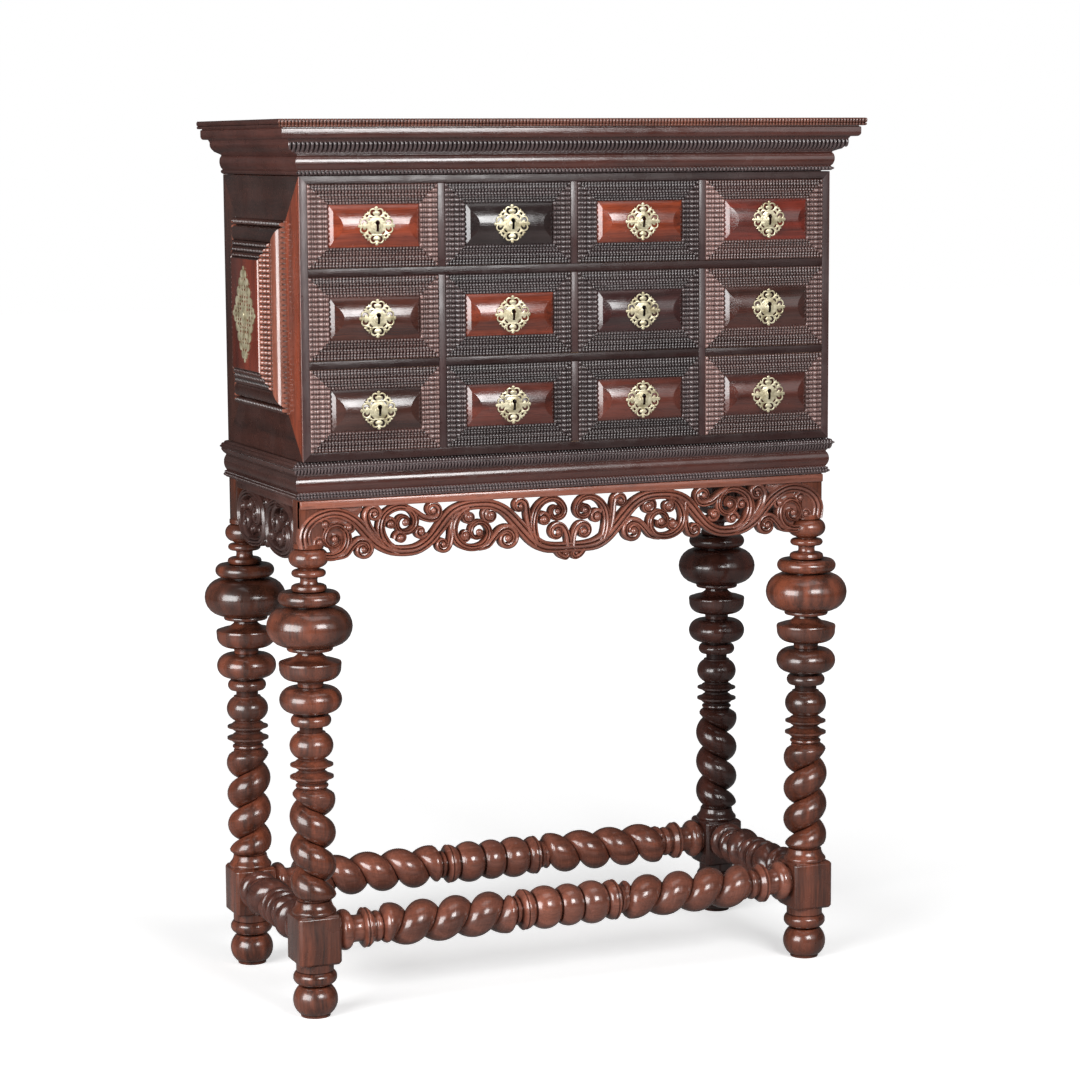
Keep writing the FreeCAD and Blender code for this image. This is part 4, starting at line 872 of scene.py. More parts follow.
def open_line(path, steps):
    """A smooth line through all the points, from the first to the last."""
    line = []
    for i in range(len(path) - 1):
        near = (path[max(i - 1, 0)], path[i], path[i + 1], path[min(i + 2, len(path) - 1)])
        line += [between(near, step / steps) for step in range(steps)]
    return line + [path[-1]]


def closed_line(points, steps):
    """A smooth line through all the points and back to the first."""
    line = []
    for i in range(len(points)):
        near = [points[(i + k - 1) % len(points)] for k in range(4)]
        line += [between(near, step / steps) for step in range(steps)]
    return line


def cut_sheet(name, outer, holes, thick, bevel):
    """A flat plate about y = 0, from (x, z) points; only the holes are rounded here."""
    data = bpy.data.curves.new(name, "CURVE")
    data.dimensions = "2D"
    data.fill_mode = "BOTH"
    data.extrude = (thick / 2 - bevel) * MM
    data.bevel_depth = bevel * MM
    data.bevel_resolution = 1
    data.offset = -bevel * MM
    for outline in [outer, *(closed_line(hole, 2) for hole in holes)]:
        line = data.splines.new("POLY")
        line.points.add(len(outline) - 1)
        for point, (x, z) in zip(line.points, outline):
            point.co = (x * MM, z * MM, 0, 1)
        line.use_cyclic_u = True
    thing = bpy.data.objects.new(name, data)
    bpy.context.collection.objects.link(thing)
    pick(thing)
    bpy.ops.object.convert(target="MESH")
    thing = bpy.context.active_object
    turn(thing, 90, "X")
    return face_outwards(thing, 0.00002)


# Carved aprons

# Sections of the carving: across and height, each as a share.
RIDGED = (
    (-1, 0), (-1, 0.74), (-0.88, 0.86), (-0.7, 0.92), (-0.52, 0.84), (-0.42, 0.7), (-0.3, 0.84),
    (-0.12, 0.97), (0.06, 1), (0.24, 0.93), (0.36, 0.72), (0.48, 0.82), (0.68, 0.94), (0.88, 0.86),
    (1, 0.72), (1, 0),
)
CURLED = (
    (-1, 0), (-1, 0.74), (-0.8, 0.86), (-0.5, 0.88), (-0.32, 0.74), (-0.1, 0.88), (0.25, 1),
    (0.62, 0.96), (0.9, 0.84), (1, 0.7), (1, 0),
)
# Stems: (x, z, width) along the middle line.
FRONT_STEM = (
    (-446, 752, 18), (-448.5, 770, 17), (-442, 786, 16), (-427, 798, 15), (-406, 804, 14),
    (-386, 802, 14), (-366, 791, 15), (-350, 775, 16), (-333, 757, 17), (-312, 743, 16),
    (-290, 738, 15), (-265, 739, 15), (-245, 749, 15), (-229, 765, 16), (-213, 784, 18),
    (-200, 796, 16), (-182, 803, 15), (-160, 805, 14), (-135, 803, 15), (-114, 793, 16),
    (-97, 777, 17), (-80, 758, 18), (-63, 741, 18), (-45, 731, 17), (-24, 728, 15), (1, 728, 14),
)
# Scrolls: points of the arm, the eye it winds into, the turns, and the hand (1 is anticlockwise).
FRONT_SCROLLS = (
    (((-428, 742, 9), (-412, 735.5, 11), (-396, 736.5, 12), (-383, 745, 12), (-377, 760, 12),
      (-380, 775, 11), (-392, 784, 10), (-406, 782, 9), (-414, 772, 8)), (-400, 763), 0.9, 1),
    (((-396, 734.5, 9), (-381, 738, 10), (-371, 750, 10), (-359, 759, 10), (-346, 757, 10)),
     (-352.5, 744), 1.25, -1),
    (((-322, 752, 9), (-334, 766, 11), (-344, 782, 11), (-347, 797, 11), (-342, 807, 10)),
     (-334, 799), 1.25, -1),
    (((-292, 738, 11), (-309, 747, 13), (-320, 762, 14), (-323, 778, 13), (-318, 794, 12),
      (-306, 804, 11), (-290, 808, 11), (-274, 803, 10), (-265, 791, 10)), (-283, 783), 1.15, -1),
    (((-280, 807, 8), (-265, 799, 9), (-253, 790, 10), (-240, 786, 10)), (-236, 799.5), 1.25, 1),
    (((-206, 790, 8), (-205, 773, 9), (-205, 757, 9), (-208, 744, 9)), (-219.5, 745), 1.25, -1),
    (((-176, 801, 11), (-190, 793, 13), (-199, 779, 14), (-201, 764, 13), (-195, 749, 13),
      (-182, 739, 11), (-166, 736, 10), (-151, 740, 10), (-142, 751, 10)), (-159, 761), 1.15, 1),
    (((-158, 735, 8), (-143, 739, 10), (-132, 751, 10), (-121, 762, 11), (-108, 765, 11)),
     (-110, 748), 1.3, -1),
    (((-62, 742, 9), (-70, 760, 10), (-74, 780, 10), (-76, 797, 9)), (-87.5, 798.5), 1.25, 1),
    (((-56, 735, 11), (-63, 753, 13), (-64, 774, 12), (-59, 791, 11), (-48, 803, 10),
      (-33, 808, 10), (-19, 804, 9), (-11, 793, 9)), (-24, 787), 1.2, -1),
    (((-3, 729, 9), (-5, 745, 9), (-10, 758, 9)), (-23, 753), 1.3, 1),
    (((-25, 723, 6), (-18, 715, 7), (-9, 711, 7)), (-9, 718), 0.9, 1),
)
# Small curls: place, radius, the angle they start from, and the hand.
FRONT_CURLS = (
    (-414, 787, 9.5, 160, -1), (-376, 780, 10.5, 60, -1), (-424, 759, 9.5, 200, -1),
    (-306, 782, 10, 160, -1), (-290, 759, 11, 190, -1), (-256, 767, 11, 350, -1),
    (-174, 786, 12, 100, 1), (-181, 757, 11, 170, 1), (-138, 787, 13, 120, 1),
    (-46, 775, 11.5, 140, -1),
)
FRONT_GROUND = (
    (-455, 814), (-455, 757), (-409, 752), (-400, 737), (-386, 738), (-377, 750), (-374, 772),
    (-364, 790), (-352, 806), (-351, 814),
)
SIDE_STEM = (
    (10, 764, 11), (13, 748, 12), (32, 736, 12), (62, 731, 12), (95, 731, 12), (124, 740, 12),
    (141, 757, 12), (146, 776, 12), (136, 795, 12), (112, 807, 12), (80, 811, 12), (48, 808, 12),
    (22, 799, 12), (11, 784, 11), (10, 762, 11),
)
SIDE_SCROLLS = (
    (((66, 806, 9), (47, 799, 10), (36, 784, 10), (40, 769, 9)), (53, 778), 1.25, 1),
    (((86, 735, 9), (106, 741, 10), (119, 755, 10), (116, 768, 9)), (103, 761), 1.25, 1),
)
SIDE_CURLS = (
    (86, 789, 10, 90, 1), (70, 752, 10, 270, 1), (124, 784, 9, 20, 1), (29, 755, 9, 200, 1),
    (0, 802, 9, 90, 1), (0, 741, 9, 270, 1),
)


def wound(points, eye, turns, hand):
    """The arm's points, then more that wind in to the eye and get narrower."""
    path = list(points)
    x, z, wide = path[-1]
    start, reach = math.atan2(z - eye[1], x - eye[0]), math.hypot(x - eye[0], z - eye[1])
    count = max(6, round(turns * 9))
    for step in range(1, count + 1):
        share = step / count
        angle = start + hand * 2 * math.pi * turns * share
        r = reach * (1 - 0.74 * share)
        path.append((eye[0] + r * math.cos(angle), eye[1] + r * math.sin(angle),
                     wide * (1 - 0.55 * share)))
    return path


HALF_BAND = 0.56
FULL_WIDTH = 13


def carved(name, path, profile, back, front):
    """A carved band along the path between y = back and y = front; narrow parts lie lower."""
    line = open_line(path, 3)
    vertices, faces = [], []
    count = len(profile)
    for i, (x, z, wide) in enumerate(line):
        (x0, z0, _), (x1, z1, _) = line[max(i - 1, 0)], line[min(i + 1, len(line) - 1)]
        size = math.hypot(x1 - x0, z1 - z0) or 1
        across_x, across_z = -(z1 - z0) / size, (x1 - x0) / size
        tall = (back - front) * (0.86 + 0.14 * min(1, wide / FULL_WIDTH))
        for u, h in profile:
            vertices.append(((x + across_x * u * wide * HALF_BAND) * MM, (back - tall * h) * MM,
                             (z + across_z * u * wide * HALF_BAND) * MM))
    for i in range(len(line) - 1):
        for k in range(count):
            a, b = i * count + k, i * count + (k + 1) % count
            faces.append((a, b, b + count, a + count))
    faces += [tuple(range(count)), tuple(range(len(vertices) - 1, len(vertices) - count - 1, -1))]
    mesh = bpy.data.meshes.new(name)
    mesh.from_pydata(vertices, [], faces)
    thing = bpy.data.objects.new(name, mesh)
    bpy.context.collection.objects.link(thing)
    return gather_grime_and_shade(face_outwards(thing, 0.0000001), 1.4)


def bead(name, x, z, radius, y):
    """A slightly flattened ball, the eye of a scroll."""
    put_down()
    bpy.ops.mesh.primitive_uv_sphere_add(segments=14, ring_count=8, radius=radius * MM,
                                         location=(x * MM, y * MM, z * MM),
                                         rotation=(math.pi / 2, 0, 0))
    thing = named(name)
    thing.scale = (1, 1, 0.8)
    return settle(thing)


def curl(name, x, z, radius, start, hand, back, front):
    """A small winding curl with a ball for its eye."""
    angle = math.radians(start)
    reach = radius * 0.8
    first = (x + reach * math.cos(angle), z + reach * math.sin(angle), radius * 0.84)
    return [
        carved(name, wound([first], (x, z), 1.3, hand), CURLED, back, front),
        bead(f"{name}_eye", x, z, radius * 0.46, front + 1.5),
    ]


def carve_board(name, stem, scrolls, curls, ground, half, back, front):
    """The carved half, its mirror image, the solid ground at the ends, and the strip above."""
    pieces = [carved(f"{name}_stem", stem, RIDGED, back, front)]
    for points, eye, turns, hand in scrolls:
        profile = RIDGED if max(point[2] for point in points) > 11 else CURLED
        path = wound(points, eye, turns, hand)
        pieces.append(carved(f"{name}_scroll", path, profile, back, front))
        reach = math.hypot(points[-1][0] - eye[0], points[-1][1] - eye[1])
        pieces.append(bead(f"{name}_eye", *eye, reach * 0.3, front + 1.5))
    for place in curls:
        pieces += curl(f"{name}_curl", *place, back, front + 1)
    if ground:
        sheet = cut_sheet(f"{name}_ground", ground, [], 9, 0.4)
        pieces.append(move(sheet, y=back - 4.5))
    near = join(f"{name}_half", pieces)
    far = mirror_x(copy(near, f"{name}_far"))
    strip = block(f"{name}_strip", (-half, front + 0.6, 812), (half, back, 824.8), 1.2, 2)
    return join(name, [near, far, strip])


SIDE_APRON_HALF = 151.8


def make_aprons():
    """The carved boards under the stand moulding, at the front and on both sides."""
    front = carve_board("apron_front_carving", FRONT_STEM, FRONT_SCROLLS, FRONT_CURLS, FRONT_GROUND,
                        HALF_WIDTH, STAND_FRONT_Y + 13, STAND_FRONT_Y - 5)
    finish(front, "cabinet", CARVED_WOOD, ["apron_front"], 50)
    left = carve_board("apron_left_carving", SIDE_STEM, SIDE_SCROLLS, SIDE_CURLS, None,
                       SIDE_APRON_HALF, 15.5, -0.5)
    turn(left, -90, "Z")
    move(left, x=-HALF_WIDTH, y=STAND_MIDDLE_Y)
    right = mirror_x(copy(left, "apron_right_carving"))
    for side in (left, right):
        finish(side, "cabinet", SIDE_CARVED_WOOD, ["apron_sides"], 50)


# Drawer fronts

FRONT_SECTION = (
    (-4, 0, 0), (0.6, 0, 0), (2, 0.6, 0.8), (2.9, 2, 1.1), (3, 3.6, 1.1), (2.5, 4.7, 1),
    (3, 5.8, 1.1), (3.2, 7.8, 1.1), (2.7, 9.4, 1), (3.6, 10.4, 1), (4.6, 11.7, 1.1), (4.2, 13, 1),
    (2.8, 13.9, 0.9), (2.3, 14.8, 0.9), (2.4, 17.4, 0.9), (2.9, 18.4, 0.9), (4.2, 19.2, 0.9),
    (5.2, 20.6, 1.1), (4.9, 21.9, 0.9), (4, 22.7, 0.5), (4.9, 23.6, 0.9), (5, 25, 0.9),
    (4.3, 26, 0.5), (5.6, 27, 0.9), (6.4, 28.8, 1.2), (5.8, 30.4, 0.9), (4.2, 31.6, 0), (1, 32, 0),
    (-4, 32, 0),
)


def mitred_run(name, section, length, spare, pitch):
    """One side of a frame, lying along X with its outer edge on z = 0, mitred at both ends."""
    thing = moulding(name, section, length + spare, pitch)
    slice_off(thing, (-length / 2, 0, 0), (1, 0, -1))
    slice_off(thing, (length / 2, 0, 0), (-1, 0, -1))
    return thing


def mitred_frame(section, wide, tall, spare, pitch, upright_pitch):
    """The four sides of a frame about the middle: low and high, then left and right."""
    low = move(mitred_run("low", section, wide, spare, pitch), z=-tall / 2)
    high = turn(copy(low, "high"), 180, "Y")
    left = turn(mitred_run("left", section, tall, spare, upright_pitch), 90, "Y")
    move(left, x=-wide / 2)
    right = turn(copy(left, "right"), 180, "Y")
    return [low, high], [left, right]


def make_frame_pattern():
    """The ripple frame round a front of one cell, about its middle, and the board behind it."""
    wide, tall = COLUMN_WIDTH - 1, ROW_HEIGHT - 1
    levels, uprights = mitred_frame(FRONT_SECTION, wide, tall, 2, 5.4, 7.6)
    edge_x, edge_z = wide / 2 - 0.4, tall / 2 - 0.4
    board = block("board", (-edge_x, -0.6, -edge_z), (edge_x, 15, edge_z), 0.4, 1)
    level = join("frame_level", [*levels, board])
    upright = join("frame_upright", uprights)
    return face_outwards(level, 0.0000005), face_outwards(upright, 0.0000005)


PANEL_WIDE, PANEL_TALL = 147.5, 65
PANEL_BASE, PANEL_RISE = 4.2, 12
PANEL_RIDGE = PANEL_BASE + PANEL_RISE
PANEL_STEEP, PANEL_RUN, PANEL_BEVEL = 7, 6, 20.3
KEYHOLE_X, KEYHOLE_EYE_Z, KEYHOLE_SLOT_Z = 1.5, 4.8, -2
KEYHOLE_RADIUS, KEYHOLE_SLOT_WIDTH, KEYHOLE_SLOT_LENGTH = 3.9, 4.4, 13.6


def keyhole_cutter(name, low_y, high_y):
    """A keyhole-shaped bar through the front, in the panel's own place."""
    put_down()
    middle, depth = (low_y + high_y) / 2 * MM, (high_y - low_y) * MM
    bpy.ops.mesh.primitive_cylinder_add(vertices=20, radius=KEYHOLE_RADIUS * MM, depth=depth,
                                        location=(KEYHOLE_X * MM, middle, KEYHOLE_EYE_Z * MM),
                                        rotation=(math.pi / 2, 0, 0))
    eye = settle(named(f"{name}_eye"))
    bpy.ops.mesh.primitive_cube_add(size=1, location=(KEYHOLE_X * MM, middle, KEYHOLE_SLOT_Z * MM))
    slot = named(f"{name}_slot")
    slot.scale = (KEYHOLE_SLOT_WIDTH * MM, depth, KEYHOLE_SLOT_LENGTH * MM)
    settle(slot)
    apply_modifier(eye, "BOOLEAN", operation="UNION", object=slot, solver="EXACT")
    bpy.data.objects.remove(slot)
    return eye


def make_panel_pattern():
    """A raised panel about its middle: an arched bar, its ends cut twice, steep and then flat."""
    half = PANEL_TALL / 2
    radius = (half ** 2 + PANEL_RISE ** 2) / (2 * PANEL_RISE)
    put_down()
    bpy.ops.mesh.primitive_cylinder_add(vertices=160, radius=radius * MM, depth=PANEL_WIDE * MM,
                                        location=(0, (radius - PANEL_RIDGE) * MM, 0),
                                        rotation=(0, math.pi / 2, 0))
    thing = settle(named("panel_pattern"))
    slice_off(thing, (0, 2, 0), (0, -1, 0))
    slice_off(thing, (0, 0, half), (0, 0, -1))
    slice_off(thing, (0, 0, -half), (0, 0, 1))
    edge, steep_top = PANEL_WIDE / 2, PANEL_BASE + PANEL_STEEP
    rise, run = PANEL_RIDGE - steep_top, PANEL_BEVEL - PANEL_RUN
    for side in (-1, 1):
        slice_off(thing, (side * edge, -PANEL_BASE, 0), (-side * PANEL_STEEP, PANEL_RUN, 0))
        slice_off(thing, (side * (edge - PANEL_RUN), -steep_top, 0), (-side * rise, run, 0))
    face_outwards(thing)
    soften(thing, 0.45, 2, 9)
    return thing


# Outlines and openings of the plates: (x, z).
PLATE_EIGHTH = (
    (0, 30), (2, 29.2), (2.5, 27.4), (1.7, 25.7), (3.6, 26.6), (6.6, 27), (9.6, 25.7), (11.5, 23),
    (11.6, 20.9), (13.2, 21.4), (14.4, 23), (15.4, 19.8), (18.6, 18.6),
)
PLATE_COMMA = ((2, 22.6), (4, 24.6), (7, 24.6), (9.2, 22.6), (9.8, 19.4), (8.3, 16.6), (5.4, 15),
               (2.6, 15.4), (4.9, 17.4), (6, 19.2), (5.4, 21.2), (3.6, 21.8))
PLATE_CRESCENT = (
    (7.4, 12.8), (10, 13.3), (12.2, 12.2), (13.3, 10), (12.8, 7.4), (11, 9.2), (9.2, 11),
)
PLATE_DOT = ((12.8, 16), (14.6, 17.3), (16.6, 16.6), (17.3, 14.6), (16, 12.8), (14.3, 14.3))
PLATE_BOSS = (
    (0, 10.6), (0.7, 10.6), (1.3, 10), (1.5, 9.2), (1.5, 8.6), (2.6, 6, 0.4), (3.2, 2.4, 0.2),
)
PLATE_THICK, SHEET_BEVEL = 1.3, 0.35
QUARTER_TURNS = ((1, 0), (0, 1), (-1, 0), (0, -1))


def turned_points(points, c, s):
    """The points turned about the middle, by the angle with this cosine and sine."""
    return [(x * c - z * s, x * s + z * c) for x, z in points]


def mirrored_round(points):
    """Repeat an eighth, mirrored about its diagonal and turned clockwise round the middle."""
    quarter = list(points) + [(z, x) for x, z in reversed(points[1:-1])]
    return [point for c, s in QUARTER_TURNS for point in turned_points(quarter, c, -s)]


def around_four(hole):
    """The hole, once in each quarter."""
    return [turned_points(hole, c, s) for c, s in QUARTER_TURNS]


def around_eight(hole):
    """The hole and its mirror image, in each quarter."""
    twin = [(-x, z) for x, z in hole]
    return [turned_points(points, c, s) for c, s in QUARTER_TURNS for points in (hole, twin)]


def make_plate_pattern():
    """The pierced plate with its raised middle and keyhole, back face on y = 0."""
    outer = closed_line(mirrored_round(PLATE_EIGHTH), 3)
    holes = around_eight(PLATE_COMMA) + around_four(PLATE_CRESCENT) + around_four(PLATE_DOT)
    sheet = cut_sheet("plate_sheet", outer, holes, PLATE_THICK, SHEET_BEVEL)
    move(sheet, y=-PLATE_THICK / 2)
    boss = turn(turned("plate_boss", PLATE_BOSS, 36), 90, "X")
    cutter = keyhole_cutter("plate", -12, 12)
    for thing in (sheet, boss):
        apply_modifier(thing, "BOOLEAN", operation="DIFFERENCE", object=cutter, solver="EXACT")
    bpy.data.objects.remove(cutter)
    return join("plate_pattern", [sheet, boss])


# Panels and drawers, by (column, row) from the lower left.
PANEL_TONES = {
    (0, 2): ((0.3, 0.055, 0.024), (0.1, 0.018, 0.01)),
    (1, 2): ((0.026, 0.014, 0.013), (0.01, 0.006, 0.006)),
    (2, 2): ((0.4, 0.07, 0.024), (0.06, 0.014, 0.01)),
    (3, 2): ((0.24, 0.036, 0.022), (0.06, 0.014, 0.01)),
    (0, 1): ((0.1, 0.03, 0.02), (0.028, 0.011, 0.009)),
    (1, 1): ((0.29, 0.05, 0.021), (0.045, 0.013, 0.009)),
    (2, 1): ((0.07, 0.02, 0.018), (0.02, 0.009, 0.009)),
    (3, 1): ((0.085, 0.026, 0.019), (0.022, 0.01, 0.008)),
    (0, 0): ((0.07, 0.025, 0.018), (0.022, 0.01, 0.009)),
    (1, 0): ((0.15, 0.034, 0.022), (0.032, 0.012, 0.01)),
    (2, 0): ((0.14, 0.032, 0.02), (0.042, 0.013, 0.01)),
    (3, 0): ((0.11, 0.028, 0.019), (0.027, 0.01, 0.009)),
}
DRAWERS = {
    "drawer_top_1": ((0, 2),),
    "drawer_top_2": ((1, 2),),
    "drawer_top_3": ((2, 2),),
    "drawer_top_4": ((3, 2),),
    "drawer_left_deep": ((0, 1), (0, 0)),
    "drawer_centre_middle": ((1, 1), (2, 1)),
    "drawer_centre_bottom": ((1, 0), (2, 0)),
    "drawer_right_deep": ((3, 1), (3, 0)),
}


def cell_centre(cell):
    """Middle (x, z) of one of the twelve fronts."""
    column, row = cell
    return (-OPENING_HALF + column * COLUMN_PITCH + COLUMN_WIDTH / 2,
            OPENING_LOW + row * ROW_PITCH + ROW_HEIGHT / 2)


STRIP_RISE, STRIP_SINK = 2.4, 14


def make_strip(name, first, second):
    """The rail or stile that is carried by a drawer of two fronts, between them."""
    (x0, z0), (x1, z1) = first, second
    x, z = (x0 + x1) / 2, (z0 + z1) / 2
    level = x0 == x1
    left, right, low, high = (106, 106, 6.4, 6.4) if level else (5.9, 5.9, 63.6, 64.2)
    strip = block(f"{name}_strip", (x - left, BOARD_FACE - STRIP_RISE, z - low),
                  (x + right, BOARD_FACE + STRIP_SINK, z + high), 1.4, 3)
    finish(strip, name, FRAME_WOOD if level else FRAME_WOOD_UP, [f"{name}_front"])


def make_drawer_fronts():
    """The twelve fronts on their eight drawers, each panel in a wood of its own."""
    level, upright = make_frame_pattern()
    panel = make_panel_pattern()
    plate = make_plate_pattern()
    cutter = keyhole_cutter("panel", -30, 12)
    apply_modifier(panel, "BOOLEAN", operation="DIFFERENCE", object=cutter, solver="EXACT")
    bpy.data.objects.remove(cutter)
    for name, cells in DRAWERS.items():
        front = [f"{name}_front"]
        levels, uprights, plates = [], [], []
        for number, cell in enumerate(cells, 1):
            x, z = cell_centre(cell)
            levels.append(move(copy(level, "level"), x, BOARD_FACE, z))
            uprights.append(move(copy(upright, "upright"), x, BOARD_FACE, z))
            plates.append(move(copy(plate, "plate"), x, BOARD_FACE - PANEL_RIDGE, z))
            light, dark = PANEL_TONES[cell]
            tone = wood(f"Panel {cell[0] + 1} {3 - cell[1]}", light, dark, "X", contrast=0.8,
                        polish=0.17, coat=0.7, shift=(x * MM * 3, z * MM * 2, 0.37 * number))
            piece = move(copy(panel, f"{name}_panel_{number}"), x, BOARD_FACE, z)
            finish(piece, name, tone, front, 24)
        if len(cells) == 2:
            make_strip(name, *(cell_centre(cell) for cell in cells))
        outer = cells[0][0] in (0, 3)
        finish(join(f"{name}_level_ripples", levels), name,
               BROWN_RIPPLE if outer else RIPPLE_WOOD, front, 60)
        # The uprights take the lighter ripple copies: painted sheen.
        finish(join(f"{name}_upright_ripples", uprights), name,
               BROWN_RIPPLE_UP_PAINTED_SHEEN if outer else RIPPLE_WOOD_UP_PAINTED_SHEEN, front, 60)
        finish(join(f"{name}_plates", plates), name, BRASS,
               [f"{name}_escutcheon"], 40)
    for pattern in (level, upright, panel, plate):
        bpy.data.objects.remove(pattern)


# Case

def mitred_beam(name, length, wide, deep, bevel, angle):
    """A softened beam with its outer edge on the Y axis, turned about it, mitred at both ends."""
    beam = block(name, (-length / 2, 0, 0), (length / 2, deep, wide), bevel, 3)
    for side in (-1, 1):
        slice_off(beam, (side * length / 2, 0, 0), (-side, 0, -1))
    return turn(beam, angle, "Y")


BOLT_RISE, BOLT_ROOM = 8, 0.4


def cut_mortises(rails):
    """Room in the rails for each lock bolt, which rises out of its drawer."""
    room = Vector((BOLT_ROOM, BOLT_ROOM, BOLT_ROOM))
    for name in DRAWERS:
        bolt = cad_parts[f"{name}_bolt"]
        corners = [bolt.matrix_world @ Vector(corner) / MM for corner in bolt.bound_box]
        low = Vector(min(corner[axis] for corner in corners) for axis in range(3)) - room
        high = Vector(max(corner[axis] for corner in corners) for axis in range(3)) + room
        high.z += BOLT_RISE + BOLT_ROOM
        cutter = block("mortise", low, high, 0.1, 1)
        apply_modifier(rails, "BOOLEAN", operation="DIFFERENCE", object=cutter, solver="EXACT")
        bpy.data.objects.remove(cutter)
    return rails


RAIL_DEPTH = 30
BOARD_FRONT_Y = FRONT_Y + 28
CASE_LOW = STAND_TOP + 0.2


def make_case():
    """Front frame of the case with its side boards, and the boards above and below the drawers."""
    middle_z, side_x = (CASE_LOW + CASE_TOP) / 2, HALF_WIDTH - 0.4
    wide, tall = 2 * side_x, CASE_TOP - CASE_LOW
    levels = [mitred_beam("rail_low", wide, 13, RAIL_DEPTH, 0.6, 0),
              mitred_beam("rail_high", wide, 12, RAIL_DEPTH, 0.6, 180)]
    uprights = [mitred_beam("stile_left", tall, 12.5, RAIL_DEPTH, 0.6, 90),
                mitred_beam("stile_right", tall, 12.5, RAIL_DEPTH, 0.6, -90)]
    places = ((0, CASE_LOW), (0, CASE_TOP), (-side_x, middle_z), (side_x, middle_z))
    for beam, (x, z) in zip(levels + uprights, places):
        move(beam, x, FRONT_Y, z)
    thing = cut_mortises(join("case_front_rails", levels))
    finish(thing, "cabinet", FRAME_WOOD, ["case_top_and_bottom"])
    thing = join("case_front_stiles", uprights)
    finish(thing, "cabinet", FRAME_WOOD_UP, ["case_sides"])
    boards = [
        block("side_board", (low_x, BOARD_FRONT_Y, CASE_LOW), (high_x, BACK_BOARD_Y, CASE_TOP),
              0.8, 2)
        for low_x, high_x in ((-HALF_WIDTH + 4, -OPENING_HALF), (OPENING_HALF, HALF_WIDTH - 4))
    ]
    thing = join("case_side_boards", boards)
    finish(thing, "cabinet", SIDE_BAND_WOOD, ["case_sides"])
    boards = [
        block("inner_board", (-OPENING_HALF, BOARD_FRONT_Y, low_z),
              (OPENING_HALF, BACK_BOARD_Y, high_z), 0.5, 1)
        for low_z, high_z in ((CASE_LOW, OPENING_LOW), (OPENING_HIGH, CASE_TOP))
    ]
    thing = join("case_inner_boards", boards)
    finish(thing, "cabinet", PLAIN_WOOD, ["case_top_and_bottom"])


def make_dividers():
    """Rails and stiles between the drawers, with rounded noses; where the CAD has them."""
    lower_z, upper_z = (OPENING_LOW + row * ROW_PITCH + ROW_HEIGHT for row in (0, 1))
    stile_x = [-OPENING_HALF + column * COLUMN_PITCH + COLUMN_WIDTH for column in (0, 1, 2)]

    def divider(name, low_x, high_x, low_z, high_z):
        return block(name, (low_x, FRONT_Y, low_z), (high_x, BACK_BOARD_Y, high_z), 0.8, 3)

    rails = [
        divider("rail_upper", -OPENING_HALF, OPENING_HALF, upper_z, upper_z + RAIL_HEIGHT),
        divider("rail_middle", stile_x[0] + STILE_WIDTH, stile_x[2], lower_z,
                lower_z + RAIL_HEIGHT),
    ]
    uppers = [divider("stile_upper", x, x + STILE_WIDTH, upper_z + RAIL_HEIGHT, OPENING_HIGH)
              for x in stile_x]
    lowers = [divider("stile_lower", x, x + STILE_WIDTH, OPENING_LOW, upper_z)
              for x in stile_x[::2]]
    thing = cut_mortises(join("divider_rails", rails))
    finish(thing, "cabinet", FRAME_WOOD, ["drawer_dividers"])
    thing = join("divider_stiles", uppers + lowers)
    finish(thing, "cabinet", FRAME_WOOD_UP, ["drawer_dividers"])


# Sides: mitred band, moulding, raised field and mount

SIDE_SECTION = (
    (-1, 0, 0), (0.6, 0, 0), (3.2, 0.6, 1), (6.4, 2.4, 1.8), (7.8, 5.2, 2), (6.8, 8, 1.8),
    (3.6, 9.8, 0.8), (1.8, 10.6, 0), (3.4, 11.6, 0), (7.6, 12.8, 0), (10.6, 15, 0), (13, 18.4, 0),
    (14.6, 22.4, 0), (15.4, 26.6, 0), (15.8, 31, 0), (15.4, 33.4, 0), (14.4, 34.6, 0.1),
    (16.8, 35.8, 1), (19, 38.4, 1.4), (19.4, 41, 1.2), (18.4, 43.2, 0.5), (20.4, 44.8, 1),
    (22.4, 47.4, 1.4), (22.6, 50, 1.2), (21.6, 52.2, 0.5), (23.8, 53.8, 1), (25.8, 56, 1.3),
    (26.4, 58.4, 1), (25, 60.4, 0.1), (27, 61.2, 0), (28.4, 62.4, 0), (28, 63.6, 0), (20, 64, 0),
    (-1, 64, 0),
)
SIDE_FRAME_WIDE, SIDE_FRAME_TALL = 264, 300
SIDE_MOULDING_WIDE, SIDE_FIELD_RISE = 62, 28.6
BAND_THICK, MITRE_ROOM = 6, 0.3


def make_bands():
    """The mitred band round a side's moulding, facing -Y: low, high, then the two uprights."""
    across, up = BACK_Y - FRONT_Y, CASE_TOP - STAND_TOP
    level_wide, upright_wide = (up - SIDE_FRAME_TALL) / 2, (across - SIDE_FRAME_WIDE) / 2
    bands = []
    for length, wide, angle, x, z in (
        (across, level_wide, 0, 0, -up / 2), (across, level_wide, 180, 0, up / 2),
        (up, upright_wide, 90, -across / 2, 0), (up, upright_wide, -90, across / 2, 0),
    ):
        band = block("band", (-length / 2 + MITRE_ROOM, 0, MITRE_ROOM),
                     (length / 2 - MITRE_ROOM, BAND_THICK, wide), 0.3, 1)
        for end in (-1, 1):
            slice_off(band, (end * length / 2, 0, 0), (-end * wide, 0, -wide))
        turn(band, angle, "Y")
        bands.append(move(band, x=x, z=z))
    return bands


